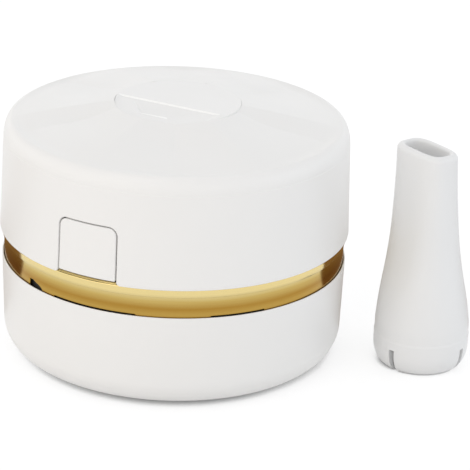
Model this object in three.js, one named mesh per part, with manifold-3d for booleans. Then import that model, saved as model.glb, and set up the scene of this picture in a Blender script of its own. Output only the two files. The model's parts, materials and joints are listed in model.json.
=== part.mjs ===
// Desktop mini vacuum cleaner: a round motor housing that lifts off a dust bin, with its nozzle beside it.
// Millimetres, +Z up. The origin is the middle of the whole footprint on the desk. Every piece is placed
// from the body's axis, which the group "product" shifts. Azimuth 0 points along +X, from the body to the
// nozzle, and the front, which carries the release button, is on the -Y side.
import * as THREE from "three";
import { mergeVertices } from "three/addons/utils/BufferGeometryUtils.js";
import Module from "manifold-3d";

const wasm = await Module();
wasm.setup();

// Clearances and working values
const clearance = 0.3;
const seamGap = 0.3;
const overrun = 1;
const weld = 1e-4;
const degree = Math.PI / 180;
const quarterTurn = Math.PI / 2;
const fullTurn = Math.PI * 2;

// Steps round a circle
const coverSteps = 72;
const shellSteps = 48;
const innerSteps = 36;
const smallSteps = 16;
const screwSteps = 12;
const arcSteps = 4;
const filletSteps = 4;
const innerFilletSteps = 2;

// Body: the outside of the bin and of the housing
const bodyRadius = 42;
const footGap = 0.8;
const baseFillet = 6.6;
const binFootInset = 0.98;
const binRimInset = 0.52;
const binRimZ = 24.18;
const binWall = 2;
const rimRound = 0.4;
const waistHeight = 7;
const housingHeight = 22.94;
const housingDraft = 0.75;
const housingWall = 1.9;
const edgeRound = 0.4;

// Bin floor, inlet collar and the tabs that guide the housing
const underRecess = 2.2;
const floorThickness = 1.6;
const floorFillet = 3;
const collarTopZ = 10.9;
const collarWall = 1.5;
const collarFootWidth = 3.1;
const baseRingWidth = 2;
const tabAzimuths = [-117.2, 62.8];
const latchTabRise = 0.8;
const plainTabGap = 0.58;
const tabInset = 3.88;
const tabThickness = 1.6;
const tabHalfWidth = 2.2;
const tabShelfGap = 0.4;
const tabShelfHeight = 8.1;

// Underside: plate, brush arcs, glide feet and screws
const plateThickness = 1.9;
const brushCount = 4;
const brushSpanAngle = 62;
const brushMargin = 2.12;
const brushWidth = 3.5;
const brushTipZ = 0.15;
const brushGrooveDepth = 1.2;
const brushHeight = 1.55;
const footRadius = 2.4;
const footThickness = 1.6;
const footRecessDepth = 1.1;
const baseScrewCount = 3;
const baseScrewBossRadius = 2.6;
const baseScrewBossHeight = 2.6;

// Screws
const screwHeadRadius = 1.9;
const screwHeadHeight = 1;
const screwShaftRadius = 0.9;
const screwLength = 4.4;
const screwSlotWidth = 0.5;
const screwSlotDepth = 0.4;

// Cover: rounded band, domed and folded top
const coverInset = 0.15;
const bandReach = 2.225;
const bandHeight = 3.86;
const domeHeight = 4.22;
const coverWall = 2;
const lipWall = 1.3;
const lipDepth = 3.2;
const foldDepth = 1.2;
const domeCrown = 0.25;
const domeRings = 2;
const bandRings = 4;
// Folds from the back to the front on each side: even ones are valleys, odd ones are ridges.
const foldShares = [0, 5, 10, 19, 22, 30, 36].map((step) => step / 36);

// Power button and what it presses
const buttonRadius = 15;
const buttonThickness = 2.8;
const buttonTravel = 1.2;
const buttonPostRadius = 2.5;
const scoopDistance = 2.9;
const scoopDrop = 1;
const dishDepth = 0.45;
const dishBackHalfWidth = 11;
const dishFrontHalfWidth = 3.6;
const dishLength = 7.4;
const dishMargin = 0.6;
const switchSide = 8;
const switchHeight = 2.3;
const plungerRadius = 1.7;
const plungerHeight = 1.7;
const buttonSpringRadius = 6.6;

// Circuit board under the cover
const boardRadius = 25;
const boardThickness = 1.2;
const boardDepth = 9;
const boardScrewInset = 3;
const boardScrewCount = 3;
const boardScrewTurn = 90;
const bossRadius = 2.4;

// Trim ring in the waist
const trimBevelInset = 0.15;
const trimLipInset = 0.73;
const trimLipDrop = 2.09;
const trimSkirtGap = 0.58;
const trimOverlap = 1.18;
const trimWall = 1.2;
const sillInset = 0.4;
const trimCoveSteps = 4;
// Windows in the trim's skirt: middle azimuth and half width in degrees, and the opening's height as a share
// of the skirt's.
const trimWindowShares = [
  [-117.5, 14.5, 0.12],
  [-66, 11, 0.12],
  [12, 14, 0.72],
  [90, 30, 0.72],
  [180, 36, 0.72],
];
const windowSlantAngle = 7;
const windowSteps = 3;

// Motor deck
const deckThickness = 1.82;
const deckScrewAzimuths = [0, 118, 180, -62];
const deckScrewInset = 5.2;
const deckBossRadius = 2.6;
const deckBossHeight = 12;
const motorCollarWall = 1.1;
const motorCollarHeight = 5;

// Motor
const motorRadius = 12.2;
const motorBoardGap = 1.2;
const motorWall = 1;
const motorFloor = 1.2;
const bushOuterRadius = 3.1;
const bushLength = 4;
const bushDrop = 1.6;
const endCapHeight = 2.4;
const endCapPlug = 1.8;
const magnetThickness = 1.7;
const magnetHalfAngle = 62;
const airGap = 0.6;
const armatureGap = 1.3;
const armatureSlots = 3;
const armatureSlotWidth = 2;
const armatureSlotDepth = 3.4;
const shaftRadius = 1;

// Impeller and its guard
const impellerPostGap = 4;
const impellerDiscThickness = 1.2;
const impellerGap = 0.68;
const bladeCount = 9;
const bladeInnerRadius = 9;
const bladeRimGap = 1;
const bladeThickness = 1;
const bladeLeanAngle = 28;
const impellerHubRadius = 3.2;
const impellerFootGap = 0.9;
const guardDrop = 3.68;
const guardThickness = 1.5;
const guardEyeRadius = 12;
const guardPostRadius = 2.5;
const guardPostInset = 8.68;
const guardPostCount = 3;
const guardPostTurn = 30;
const filterRimWall = 1.2;
const filterRimDepth = 2.9;

// Filter
const filterRimGap = 0.6;
const filterThickness = 3.4;
const filterBorder = 4;
const filterLedge = 1.2;
const filterSpokeWidth = 2;
const filterSpokeHeight = 1.2;
const filterTabRadius = 3.2;
const meshThickness = 1;

// Cells and their trays
const cellRadius = 7.1;
const cellBoardGap = 2.1;
const cellEndRoom = 4.46;
const cellNubRadius = 2.6;
const cellNubHeight = 0.9;
const cellDrop = 1.1;
const cellGap = 0.8;
const trayLengthShare = 0.72;
const trayWidth = 6.8;
const trayWrap = 2.7;
const linkThickness = 0.4;
const linkHeight = 4;
const linkReach = 3;

// Release button, its latch bar and its spring
const releaseHalfWidth = 7.45;
const releaseLift = 0.87;
const releaseHeight = 12.7;
const releaseCorner = 1.9;
const releaseWall = 1.8;
const releaseSink = 0.1;
const releaseTravel = 1.5;
const latchGap = 0.4;
const latchHeight = 1.8;
const latchArmWidth = 1.4;
const latchBarThickness = 1.5;
const latchReach = 1.1;
const springStopThickness = 1.2;
const springStopHalfWidth = 1.5;
const releaseSpringLength = 3.2;
const releaseSpringRadius = 0.75;
const springWireRadius = 0.25;
const springPitch = 1;
const springStepsPerTurn = 10;
const springWireHalfSides = 3;

// Charging board and socket at the back
const chargeBoardWidth = 18;
const chargeBoardLift = 3.3;
const chargeBoardGap = 1.8;
const chargePostRadius = 1.6;
const chargePostOffset = 6;
const socketWidth = 7.6;
const socketHeight = 2.7;
const socketDepth = 6.1;
const socketWall = 0.45;
const socketSink = 1.4;
const socketTongueWidth = 4.4;
const socketTongueHeight = 0.6;
const socketTongueLength = 4;

// Nozzle, which stands by itself beside the body
const nozzleGap = 6.8;
const nozzleY = -6;
const nozzleBaseRadius = 11.6;
const nozzleHeight = 55;
const nozzleWall = 1.55;
const nozzleMouthHalfLength = 7.6;
const nozzleMouthHalfWidth = 4.7;
const nozzleTurn = -52;
const nozzleBottomRound = 1.2;
const nozzleBottomRise = 2.2;
const nozzleRimRound = 0.9;
const nozzleBaseTopZ = 11;
const nozzleLedgeZ = 8.1;
const nozzleLedge = 0.2;
const nozzleSlotWidth = 2;
const nozzleSlotHeight = 4.4;
const nozzleSlotCount = 4;
const nozzleSlotTurn = -33;
const nozzleSteps = 32;
const roundPower = 2;
const mouthPower = 5;
// How the nozzle draws in above its base: height as a share of the way up, and how much of the flare is left.
const nozzleFlareShares = [
  [0, 1],
  [0.1, 0.87],
  [0.2, 0.7],
  [0.31, 0.5],
  [0.465, 0.29],
  [0.66, 0.14],
  [0.86, 0.04],
  [1, 0],
];

// Values worked out from the ones above
const nozzleX = bodyRadius + nozzleGap + nozzleBaseRadius;
const homeShift = -(nozzleX + nozzleBaseRadius - bodyRadius) / 2;
const housingFootZ = binRimZ + waistHeight;
const seamZ = housingFootZ + housingHeight;
const bandTopZ = seamZ + bandHeight;
const topZ = bandTopZ + domeHeight;
const coverFootZ = seamZ + seamGap / 2;
const housingTopZ = seamZ - seamGap / 2;
const housingTopRadius = bodyRadius - housingDraft;
const housingInnerFoot = bodyRadius - housingWall;
const housingInnerTop = housingTopRadius - housingWall;
const coverFootRadius = housingTopRadius - coverInset;
const bandTopRadius = coverFootRadius - bandReach;
const discHoleRadius = buttonRadius + clearance;
const deckZ = housingFootZ;
const deckTopZ = deckZ + deckThickness;
const deckRadius = housingInnerFoot - clearance;
const deckScrewRadius = deckRadius - deckScrewInset;
const deckScrewPlaces = deckScrewAzimuths.map((azimuth) => azimuthPoint(deckScrewRadius, azimuth));
const holeRadius = screwShaftRadius + clearance;

const binFootRadius = bodyRadius - binFootInset;
const binRimRadius = bodyRadius - binRimInset;
const binInnerRim = binRimRadius - binWall;
const binInnerFoot = binFootRadius - binWall;
const floorUnderZ = footGap + underRecess;
const floorTopZ = floorUnderZ + floorThickness;
const collarRadius = nozzleBaseRadius + clearance;
const collarFootRadius = collarRadius + collarFootWidth;
const plateInner = collarFootRadius + clearance;
const baseRingInner = binFootRadius - baseFillet - baseRingWidth;
const plateOuter = baseRingInner - clearance;
const brushInnerRadius = plateOuter - brushMargin - brushWidth;
const baseScrewSeatZ = footGap + screwHeadHeight;
const baseScrewPlaces = placesRound(baseScrewCount, (plateInner + brushInnerRadius) / 2, 0);

const trimTopZ = housingFootZ - seamGap;
const trimLipZ = housingFootZ - trimLipDrop;
const trimSkirtZ = binRimZ - trimOverlap;
const trimBevelRadius = bodyRadius - trimBevelInset;
const trimLipRadius = bodyRadius - trimLipInset;
const trimSkirtRadius = binInnerRim - trimSkirtGap;
const trimInnerRadius = trimSkirtRadius - trimWall;

const guardZ = binRimZ - guardDrop;
const guardTopZ = guardZ + guardThickness;
const guardRadius = binInnerRim - clearance;
const guardPostCircle = guardRadius - guardPostInset;
const guardPostPlaces = placesRound(guardPostCount, guardPostCircle, guardPostTurn);
const impellerRadius = guardPostCircle - guardPostRadius - impellerPostGap;
const impellerFootZ = guardTopZ + impellerFootGap;
const impellerTopZ = deckZ - impellerGap;
const bladeLength = impellerRadius - bladeInnerRadius - bladeRimGap;

const [releaseAzimuth] = tabAzimuths;
const releaseFootZ = housingFootZ + releaseLift;
const releaseTopZ = releaseFootZ + releaseHeight;
const latchZ = deckTopZ + latchGap;
const latchTopZ = latchZ + latchHeight;
const tabInnerRadius = binInnerRim - tabInset;
const tabOuterRadius = tabInnerRadius + tabThickness;
const tabShelfTopZ = guardZ - tabShelfGap;
const tabFootZ = tabShelfTopZ - tabShelfHeight;
const tabTops = [latchTopZ + latchTabRise, deckZ - plainTabGap];
const slotInner = tabInnerRadius - clearance;
const slotOuter = tabOuterRadius + clearance;
const latchBarInner = slotInner - latchReach - latchBarThickness;
const springOuterEnd = latchBarInner - clearance;
const springInnerEnd = springOuterEnd - releaseSpringLength;
const filterRadius = slotInner - filterRimWall - filterRimGap;
const filterZ = guardZ - clearance - filterThickness;

const boardZ = topZ - boardDepth;
const boardTopZ = boardZ + boardThickness;
const boardScrewRadius = boardRadius - boardScrewInset;
const boardScrewPlaces = placesRound(boardScrewCount, boardScrewRadius, boardScrewTurn);
const buttonUnderZ = topZ - buttonThickness;
const switchZ = boardTopZ + clearance;
const switchTopZ = switchZ + switchHeight;
const plungerTopZ = switchTopZ + buttonTravel;
const plungerFootZ = plungerTopZ - plungerHeight;
const postZ = plungerTopZ + clearance;

const motorZ = deckTopZ + clearance;
const motorTopZ = boardZ - motorBoardGap - endCapHeight - clearance;
const endCapZ = motorTopZ + clearance;
const bushHole = bushOuterRadius + clearance;
const bushZ = motorZ - bushDrop;
const shaftHole = shaftRadius + clearance;
const shaftTopZ = endCapZ - endCapPlug - clearance;
const armatureZ = motorZ + motorFloor + bushLength / 2;
const armatureLength = shaftTopZ + clearance - armatureGap - armatureZ;
const magnetOuter = motorRadius - motorWall - clearance;
const armatureRadius = magnetOuter - magnetThickness - airGap;

const chargeBoardZ = deckTopZ + chargeBoardLift;
const chargeBoardTopZ = chargeBoardZ + boardThickness;
const cellY = motorRadius + cellGap + cellRadius;
const chargeBoardFarY = housingInnerFoot - chargeBoardGap;
const chargeBoardNearY = cellY + cellRadius + cellBoardGap;
const socketZ = chargeBoardTopZ + clearance;
const socketFarY = bodyRadius - socketSink;
const cellZ = (deckTopZ + boardZ) / 2 - cellDrop;
const cellLength = 2 * (Math.sqrt(housingInnerFoot ** 2 - (cellY + cellRadius) ** 2) - cellEndRoom);
const trayLength = cellLength * trayLengthShare;

const white = { color: 0xf1f0ed, roughness: 0.42, metalness: 0 };
const looks = {
  shell: white,
  button: { color: 0xf0efec, roughness: 0.38, metalness: 0 },
  gold: { color: 0xd9b55c, roughness: 0.16, metalness: 1 },
  inner: { color: 0xd8d8d6, roughness: 0.55, metalness: 0 },
  rubber: { color: 0x2c2c2e, roughness: 0.8, metalness: 0 },
  bristle: { color: 0xe6e4de, roughness: 0.6, metalness: 0 },
  steel: { color: 0xb9bcc0, roughness: 0.3, metalness: 1 },
  brass: { color: 0xc8a55a, roughness: 0.3, metalness: 1 },
  magnet: { color: 0x3b3b3d, roughness: 0.6, metalness: 0.3 },
  board: { color: 0x1f6b46, roughness: 0.5, metalness: 0 },
  cell: { color: 0x4a78b5, roughness: 0.4, metalness: 0 },
  dark: { color: 0x262628, roughness: 0.5, metalness: 0 },
  filter: { color: 0xcfd3d6, roughness: 0.9, metalness: 0 },
};

// Solids: three.js makes the shapes, and manifold-3d only joins and cuts them.
function solidOf(geometry) {
  const bare = geometry.index ? geometry.toNonIndexed() : geometry.clone();
  bare.deleteAttribute("normal");
  bare.deleteAttribute("uv");
  const merged = mergeVertices(bare, weld);
  return new wasm.Manifold(
    new wasm.Mesh({
      numProp: 3,
      vertProperties: merged.attributes.position.array,
      triVerts: new Uint32Array(merged.index.array),
    }),
  );
}

function geometryOf(solid) {
  const mesh = solid.getMesh();
  const geometry = new THREE.BufferGeometry();
  geometry.setAttribute("position", new THREE.BufferAttribute(mesh.vertProperties, mesh.numProp));
  geometry.setIndex(new THREE.BufferAttribute(mesh.triVerts, 1));
  geometry.computeVertexNormals();
  return geometry;
}

function join(...solids) {
  return solids.reduce((whole, next) => whole.add(next));
}

function cut(body, ...tools) {
  return tools.reduce((rest, tool) => rest.subtract(tool), body);
}

function azimuthPoint(radius, azimuth) {
  return [radius * Math.cos(azimuth * degree), radius * Math.sin(azimuth * degree)];
}

// Evenly spaced places round a circle, the first one at the azimuth "turn".
function placesRound(count, radius, turn) {
  return Array.from({ length: count }, (_, i) => azimuthPoint(radius, turn + (360 * i) / count));
}

// A profile of [radius, height] points, closed or ending on the axis, turned about the Z axis.
function turnedGeometry(profile, steps) {
  const points = profile.map(([radius, height]) => new THREE.Vector2(radius, height));
  if (THREE.ShapeUtils.isClockWise(points)) points.reverse();
  if (profile.every(([radius]) => radius > 0)) points.push(points[0].clone());
  return new THREE.LatheGeometry(points, steps).rotateX(quarterTurn);
}

function turned(profile, steps) {
  return solidOf(turnedGeometry(profile, steps));
}

function disc(radius, low, high, steps) {
  const round = new THREE.CylinderGeometry(radius, radius, high - low, steps);
  return solidOf(round.rotateX(quarterTurn).translate(0, 0, (low + high) / 2));
}

function postAt([x, y], radius, low, high, steps) {
  return disc(radius, low, high, steps).translate([x, y, 0]);
}

function ringBetween(inner, outer, low, high, steps) {
  const profile = [
    [inner, low],
    [outer, low],
    [outer, high],
    [inner, high],
  ];
  return turned(profile, steps);
}

function extruded(shape, low, high, curveSteps) {
  const settings = { depth: high - low, bevelEnabled: false, curveSegments: curveSteps };
  return solidOf(new THREE.ExtrudeGeometry(shape, settings).translate(0, 0, low));
}

// A stretch of a ring between two radii and two heights, centred on an azimuth.
function sector(inner, outer, azimuth, half, low, high, steps) {
  const start = (azimuth - half) * degree;
  const end = (azimuth + half) * degree;
  const shape = new THREE.Shape();
  shape.absarc(0, 0, outer, start, end, false);
  shape.absarc(0, 0, inner, end, start, true);
  return extruded(shape, low, high, steps);
}

// A box between two radii on an azimuth.
function spoke(azimuth, inner, outer, halfWidth, low, high) {
  const box = new THREE.BoxGeometry(outer - inner, 2 * halfWidth, high - low);
  box.translate((inner + outer) / 2, 0, (low + high) / 2);
  return solidOf(box.rotateZ(azimuth * degree));
}

function block([x, y], width, depth, low, high) {
  const box = new THREE.BoxGeometry(width, depth, high - low);
  return solidOf(box.translate(x, y, (low + high) / 2));
}

function roundedPlate(halfWidth, low, high, corner) {
  const shape = new THREE.Shape();
  shape.moveTo(-halfWidth, low);
  shape.lineTo(halfWidth, low);
  shape.lineTo(halfWidth, high - corner);
  shape.absarc(halfWidth - corner, high - corner, corner, 0, quarterTurn, false);
  shape.absarc(corner - halfWidth, high - corner, corner, quarterTurn, 2 * quarterTurn, false);
  shape.lineTo(-halfWidth, low);
  return shape;
}

// Points on a quarter ellipse round a centre, from one angle to another.
function arcPoints([centreR, centreZ], [reachR, reachZ], fromAngle, toAngle, steps) {
  return Array.from({ length: steps + 1 }, (_, i) => {
    const angle = fromAngle + ((toAngle - fromAngle) * i) / steps;
    return [centreR + reachR * Math.cos(angle), centreZ + reachZ * Math.sin(angle)];
  });
}

const product = new THREE.Group();
product.position.x = homeShift;
const group = new THREE.Group();
group.add(product);

function piece(name, solid, look) {
  const mesh = new THREE.Mesh(geometryOf(solid), new THREE.MeshStandardMaterial(looks[look]));
  mesh.name = name;
  product.add(mesh);
  return mesh;
}

// A screw whose head faces down, with a crossed slot, its head's seat at height 0.
function screwSolid() {
  const head = disc(screwHeadRadius, -screwHeadHeight, 0, screwSteps);
  const shaft = disc(screwShaftRadius, -screwHeadHeight / 2, screwLength, screwSteps);
  const slotReach = screwHeadRadius - screwSlotWidth;
  const slotTop = screwSlotDepth - screwHeadHeight;
  const slots = [0, 90].map((turn) =>
    spoke(turn, -slotReach, slotReach, screwSlotWidth / 2, -screwHeadHeight - overrun, slotTop),
  );
  return cut(join(head, shaft), ...slots);
}

const screwDown = screwSolid();
const screwUp = screwDown.rotate([180, 0, 0]);

function placeScrews(name, places, z, solid) {
  places.forEach(([x, y], i) => piece(`${name}_${i + 1}`, solid.translate([x, y, z]), "steel"));
}

// Dust bin: shell, floor and inlet collar in one moulding, with two tabs that rise into the housing.
function dustBin() {
  const filletCentre = [binFootRadius - baseFillet, footGap + baseFillet];
  const innerFillet = [binInnerFoot - floorFillet, floorTopZ + floorFillet];
  const profile = [
    ...arcPoints(filletCentre, [baseFillet, baseFillet], -quarterTurn, 0, filletSteps),
    [binRimRadius, binRimZ - rimRound],
    [binRimRadius - rimRound, binRimZ],
    [binInnerRim + rimRound, binRimZ],
    [binInnerRim, binRimZ - rimRound],
    ...arcPoints(innerFillet, [floorFillet, floorFillet], 0, -quarterTurn, innerFilletSteps),
    [collarRadius + collarWall, floorTopZ],
    [collarRadius + collarWall, collarTopZ],
    [collarRadius, collarTopZ],
    [collarRadius, footGap],
    [collarFootRadius, footGap],
    [collarFootRadius, floorUnderZ],
    [baseRingInner, floorUnderZ],
    [baseRingInner, footGap],
  ];
  const tabMiddle = tabInnerRadius + tabThickness / 2;
  const tabs = tabAzimuths.flatMap((azimuth, i) => [
    spoke(azimuth, tabInnerRadius, tabOuterRadius, tabHalfWidth, tabFootZ, tabTops[i]),
    spoke(azimuth, tabMiddle, binInnerRim + binWall / 2, tabHalfWidth, tabFootZ, tabShelfTopZ),
  ]);
  const bossTop = floorTopZ + baseScrewBossHeight;
  const bosses = baseScrewPlaces.map((place) =>
    postAt(place, baseScrewBossRadius, floorTopZ - floorThickness / 2, bossTop, smallSteps),
  );
  const holes = baseScrewPlaces.map((place) =>
    postAt(place, holeRadius, floorUnderZ - overrun, baseScrewSeatZ + screwLength + clearance, screwSteps),
  );
  return cut(join(turned(profile, shellSteps), ...tabs, ...bosses), ...holes);
}

// Brush plate under the floor, with a groove for each brush, a recess for each foot and screw holes.
function brushAzimuth(i) {
  return (360 * i) / brushCount;
}

function footPlace(i) {
  return azimuthPoint(brushInnerRadius + brushWidth / 2, brushAzimuth(i + 0.5));
}

function brushPlate() {
  const spanMargin = clearance / brushInnerRadius / degree;
  const below = footGap - overrun;
  const grooves = Array.from({ length: brushCount }, (_, i) =>
    sector(
      brushInnerRadius - clearance,
      brushInnerRadius + brushWidth + clearance,
      brushAzimuth(i),
      brushSpanAngle / 2 + spanMargin,
      below,
      footGap + brushGrooveDepth,
      arcSteps,
    ),
  );
  const recesses = Array.from({ length: brushCount }, (_, i) =>
    postAt(footPlace(i), footRadius + clearance, below, footGap + footRecessDepth, smallSteps),
  );
  const holes = baseScrewPlaces.flatMap((place) => [
    postAt(place, holeRadius, below, floorUnderZ, screwSteps),
    postAt(place, screwHeadRadius + clearance, below, baseScrewSeatZ + clearance, smallSteps),
  ]);
  const plate = ringBetween(plateInner, plateOuter, footGap, footGap + plateThickness, innerSteps);
  return cut(plate, ...grooves, ...recesses, ...holes);
}

piece("dust_bin", dustBin(), "shell");
piece("brush_plate", brushPlate(), "inner");
for (let i = 0; i < brushCount; i += 1) {
  const outer = brushInnerRadius + brushWidth;
  const tip = brushTipZ + brushHeight;
  const arc = sector(brushInnerRadius, outer, brushAzimuth(i), brushSpanAngle / 2, brushTipZ, tip, arcSteps);
  piece(`brush_arc_${i + 1}`, arc, "bristle");
  piece(`glide_foot_${i + 1}`, postAt(footPlace(i), footRadius, 0, footThickness, smallSteps), "rubber");
}
placeScrews("base_screw", baseScrewPlaces, baseScrewSeatZ, screwDown);

// Upper housing: a drafted tube with a window for the release button, screw bosses and the socket's hole.
function releaseOutline(grow) {
  return roundedPlate(releaseHalfWidth + grow, releaseFootZ, releaseTopZ + grow, releaseCorner + grow);
}

// An outline drawn in the upright plane that faces the release azimuth, pushed out between two radii.
function releasePrism(shape, inner, outer) {
  return extruded(shape, inner, outer, arcSteps).rotate([90, 0, 0]).rotate([0, 0, releaseAzimuth + 90]);
}

function upperHousing() {
  const profile = [
    [bodyRadius - edgeRound, housingFootZ],
    [bodyRadius, housingFootZ + edgeRound],
    [housingTopRadius, housingTopZ - edgeRound],
    [housingTopRadius - edgeRound / 2, housingTopZ],
    [housingInnerTop, housingTopZ],
    [housingInnerFoot, housingFootZ],
  ];
  const bossLow = deckTopZ + clearance;
  const bossHigh = bossLow + deckBossHeight;
  const bosses = deckScrewAzimuths.flatMap((azimuth, i) => [
    postAt(deckScrewPlaces[i], deckBossRadius, bossLow, bossHigh, smallSteps),
    spoke(azimuth, deckScrewRadius, housingInnerFoot, deckBossRadius / 2, bossLow, bossHigh),
  ]);
  const holes = deckScrewPlaces.map((place) =>
    postAt(place, holeRadius, bossLow - overrun, deckZ + screwLength + clearance + overrun, screwSteps),
  );
  const inner = housingInnerTop - overrun;
  const outer = bodyRadius + overrun;
  const window = releasePrism(releaseOutline(clearance), inner, outer);
  const half = releaseHalfWidth + clearance;
  const doorway = spoke(releaseAzimuth, inner, outer, half, housingFootZ - overrun, latchZ);
  const socket = block(
    [0, socketFarY],
    socketWidth + 2 * clearance,
    2 * housingWall + 2 * overrun,
    socketZ - clearance,
    socketZ + socketHeight + clearance,
  );
  return cut(join(turned(profile, shellSteps), ...bosses), ...holes, window, doorway, socket);
}

piece("upper_housing", upperHousing(), "shell");
placeScrews("deck_screw", deckScrewPlaces, deckZ - clearance, screwDown);

// Cover: a lathe whose top is lowered into radial folds, deepest beside the button and gone at the band.
function domeZ(radius) {
  const outward = (radius - discHoleRadius) / (bandTopRadius - discHoleRadius);
  return topZ + (bandTopZ - topZ) * outward + domeCrown * Math.sin(outward * Math.PI);
}

function foldShare(x, y) {
  const fromBack = Math.abs(Math.atan2(x, y)) / Math.PI;
  const next = Math.max(1, foldShares.findIndex((share) => share >= fromBack - weld));
  const along = (fromBack - foldShares[next - 1]) / (foldShares[next] - foldShares[next - 1]);
  return next % 2 ? 1 - along : along;
}

function topCover() {
  const span = bandTopRadius - discHoleRadius;
  const rings = Array.from({ length: domeRings + 1 }, (_, i) => discHoleRadius + (span * i) / domeRings);
  const bandArc = [bandReach, bandTopZ - coverFootZ - edgeRound];
  const lipOuter = housingInnerTop - clearance;
  const profile = [
    [lipOuter - lipWall, coverFootZ - lipDepth],
    [lipOuter, coverFootZ - lipDepth],
    [lipOuter, coverFootZ],
    [coverFootRadius, coverFootZ],
    ...arcPoints([bandTopRadius, coverFootZ + edgeRound], bandArc, 0, quarterTurn, bandRings),
    ...rings.slice(0, -1).reverse().map((radius) => [radius, domeZ(radius)]),
    ...rings.slice(0, -1).map((radius) => [radius, domeZ(radius) - coverWall]),
    [lipOuter - lipWall, domeZ(bandTopRadius) - coverWall],
  ];
  const geometry = turnedGeometry(profile, coverSteps);
  const place = geometry.getAttribute("position");
  for (let i = 0; i < place.count; i += 1) {
    const radius = Math.hypot(place.getX(i), place.getY(i));
    const inward = Math.min(1, Math.max(0, (bandTopRadius - radius) / span));
    const drop = place.getZ(i) > coverFootZ + edgeRound ? foldDepth * inward : 0;
    place.setZ(i, place.getZ(i) - drop * foldShare(place.getX(i), place.getY(i)));
  }
  const bossTop = domeZ(boardScrewRadius) - (coverWall + foldDepth) / 2;
  const bossLow = boardTopZ + clearance;
  const bosses = boardScrewPlaces.map((spot) => postAt(spot, bossRadius, bossLow, bossTop, smallSteps));
  const holes = boardScrewPlaces.map((spot) =>
    postAt(spot, holeRadius, bossLow - overrun, boardZ + screwLength, screwSteps),
  );
  return cut(join(solidOf(geometry), ...bosses), ...holes);
}

// Power button: a disc flush with the cover, its front sloped away from a chord, with a shallow dish for a
// fingertip, a post that presses the switch and no lettering.
function powerButton() {
  const chordHalf = buttonRadius + overrun;
  const scoopLength = buttonRadius - scoopDistance;
  const wedge = new THREE.Shape();
  wedge.moveTo(scoopDistance, 0);
  wedge.lineTo(scoopDistance + scoopLength, -scoopDrop);
  wedge.lineTo(scoopDistance + 2 * scoopLength, -2 * scoopDrop);
  wedge.lineTo(scoopDistance + 2 * scoopLength, overrun);
  wedge.lineTo(scoopDistance, overrun);
  const slope = extruded(wedge, -chordHalf, chordHalf, 1).rotate([90, 0, 0]);
  const dish = new THREE.Shape();
  dish.moveTo(scoopDistance + dishMargin, -dishBackHalfWidth);
  dish.lineTo(scoopDistance + dishMargin, dishBackHalfWidth);
  dish.lineTo(scoopDistance + dishLength, dishFrontHalfWidth);
  dish.lineTo(scoopDistance + dishLength, -dishFrontHalfWidth);
  const dishTop = extruded(dish, -dishDepth, scoopDrop + overrun, 1);
  const tilt = Math.atan2(scoopDrop, scoopLength) / degree;
  const tilted = dishTop
    .translate([-scoopDistance, 0, 0])
    .rotate([0, tilt, 0])
    .translate([scoopDistance, 0, 0]);
  const cutters = [slope, tilted].map((tool) => tool.rotate([0, 0, releaseAzimuth]).translate([0, 0, topZ]));
  const body = disc(buttonRadius, buttonUnderZ, topZ, innerSteps);
  const post = disc(buttonPostRadius, postZ, buttonUnderZ + overrun, smallSteps);
  return cut(join(body, post), ...cutters);
}

piece("top_cover", topCover(), "shell");
piece("power_button", powerButton(), "button");

// Circuit board, the switch in its middle, the switch's plunger and the button's return spring round them.
function boardPlate() {
  const holes = boardScrewPlaces.map((place) =>
    postAt(place, holeRadius, boardZ - overrun, boardTopZ + overrun, screwSteps),
  );
  return cut(disc(boardRadius, boardZ, boardTopZ, innerSteps), ...holes);
}

const plungerHoleZ = plungerFootZ - buttonTravel - clearance;
const switchBody = cut(
  block([0, 0], switchSide, switchSide, switchZ, switchTopZ),
  disc(plungerRadius + clearance, plungerHoleZ, switchTopZ + overrun, smallSteps),
);
piece("circuit_board", boardPlate(), "board");
placeScrews("board_screw", boardScrewPlaces, boardZ - clearance, screwDown);
piece("power_switch", switchBody, "dark");
piece("switch_plunger", disc(plungerRadius, plungerFootZ, plungerTopZ, smallSteps), "brass");

// A helical spring standing on the XY plane, as one tube with closed ends.
class Helix extends THREE.Curve {
  constructor(radius, length, turns) {
    super();
    this.radius = radius;
    this.length = length;
    this.turns = turns;
  }

  getPoint(share) {
    const angle = share * this.turns * fullTurn;
    const point = new THREE.Vector3(Math.cos(angle), Math.sin(angle), 0).multiplyScalar(this.radius);
    return point.setZ(share * this.length);
  }
}

function springSolid(radius, length) {
  const section = new THREE.Shape();
  section.absarc(0, 0, springWireRadius, 0, fullTurn, false);
  const rise = length - 2 * springWireRadius;
  const turns = Math.round(rise / springPitch);
  const settings = {
    steps: turns * springStepsPerTurn,
    curveSegments: springWireHalfSides,
    extrudePath: new Helix(radius, rise, turns),
  };
  return solidOf(new THREE.ExtrudeGeometry(section, settings)).translate([0, 0, springWireRadius]);
}

const buttonSpringFootZ = boardTopZ + clearance;
const buttonSpring = springSolid(buttonSpringRadius, buttonUnderZ - clearance - buttonSpringFootZ);
piece("button_spring", buttonSpring.translate([0, 0, buttonSpringFootZ]), "steel");

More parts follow.
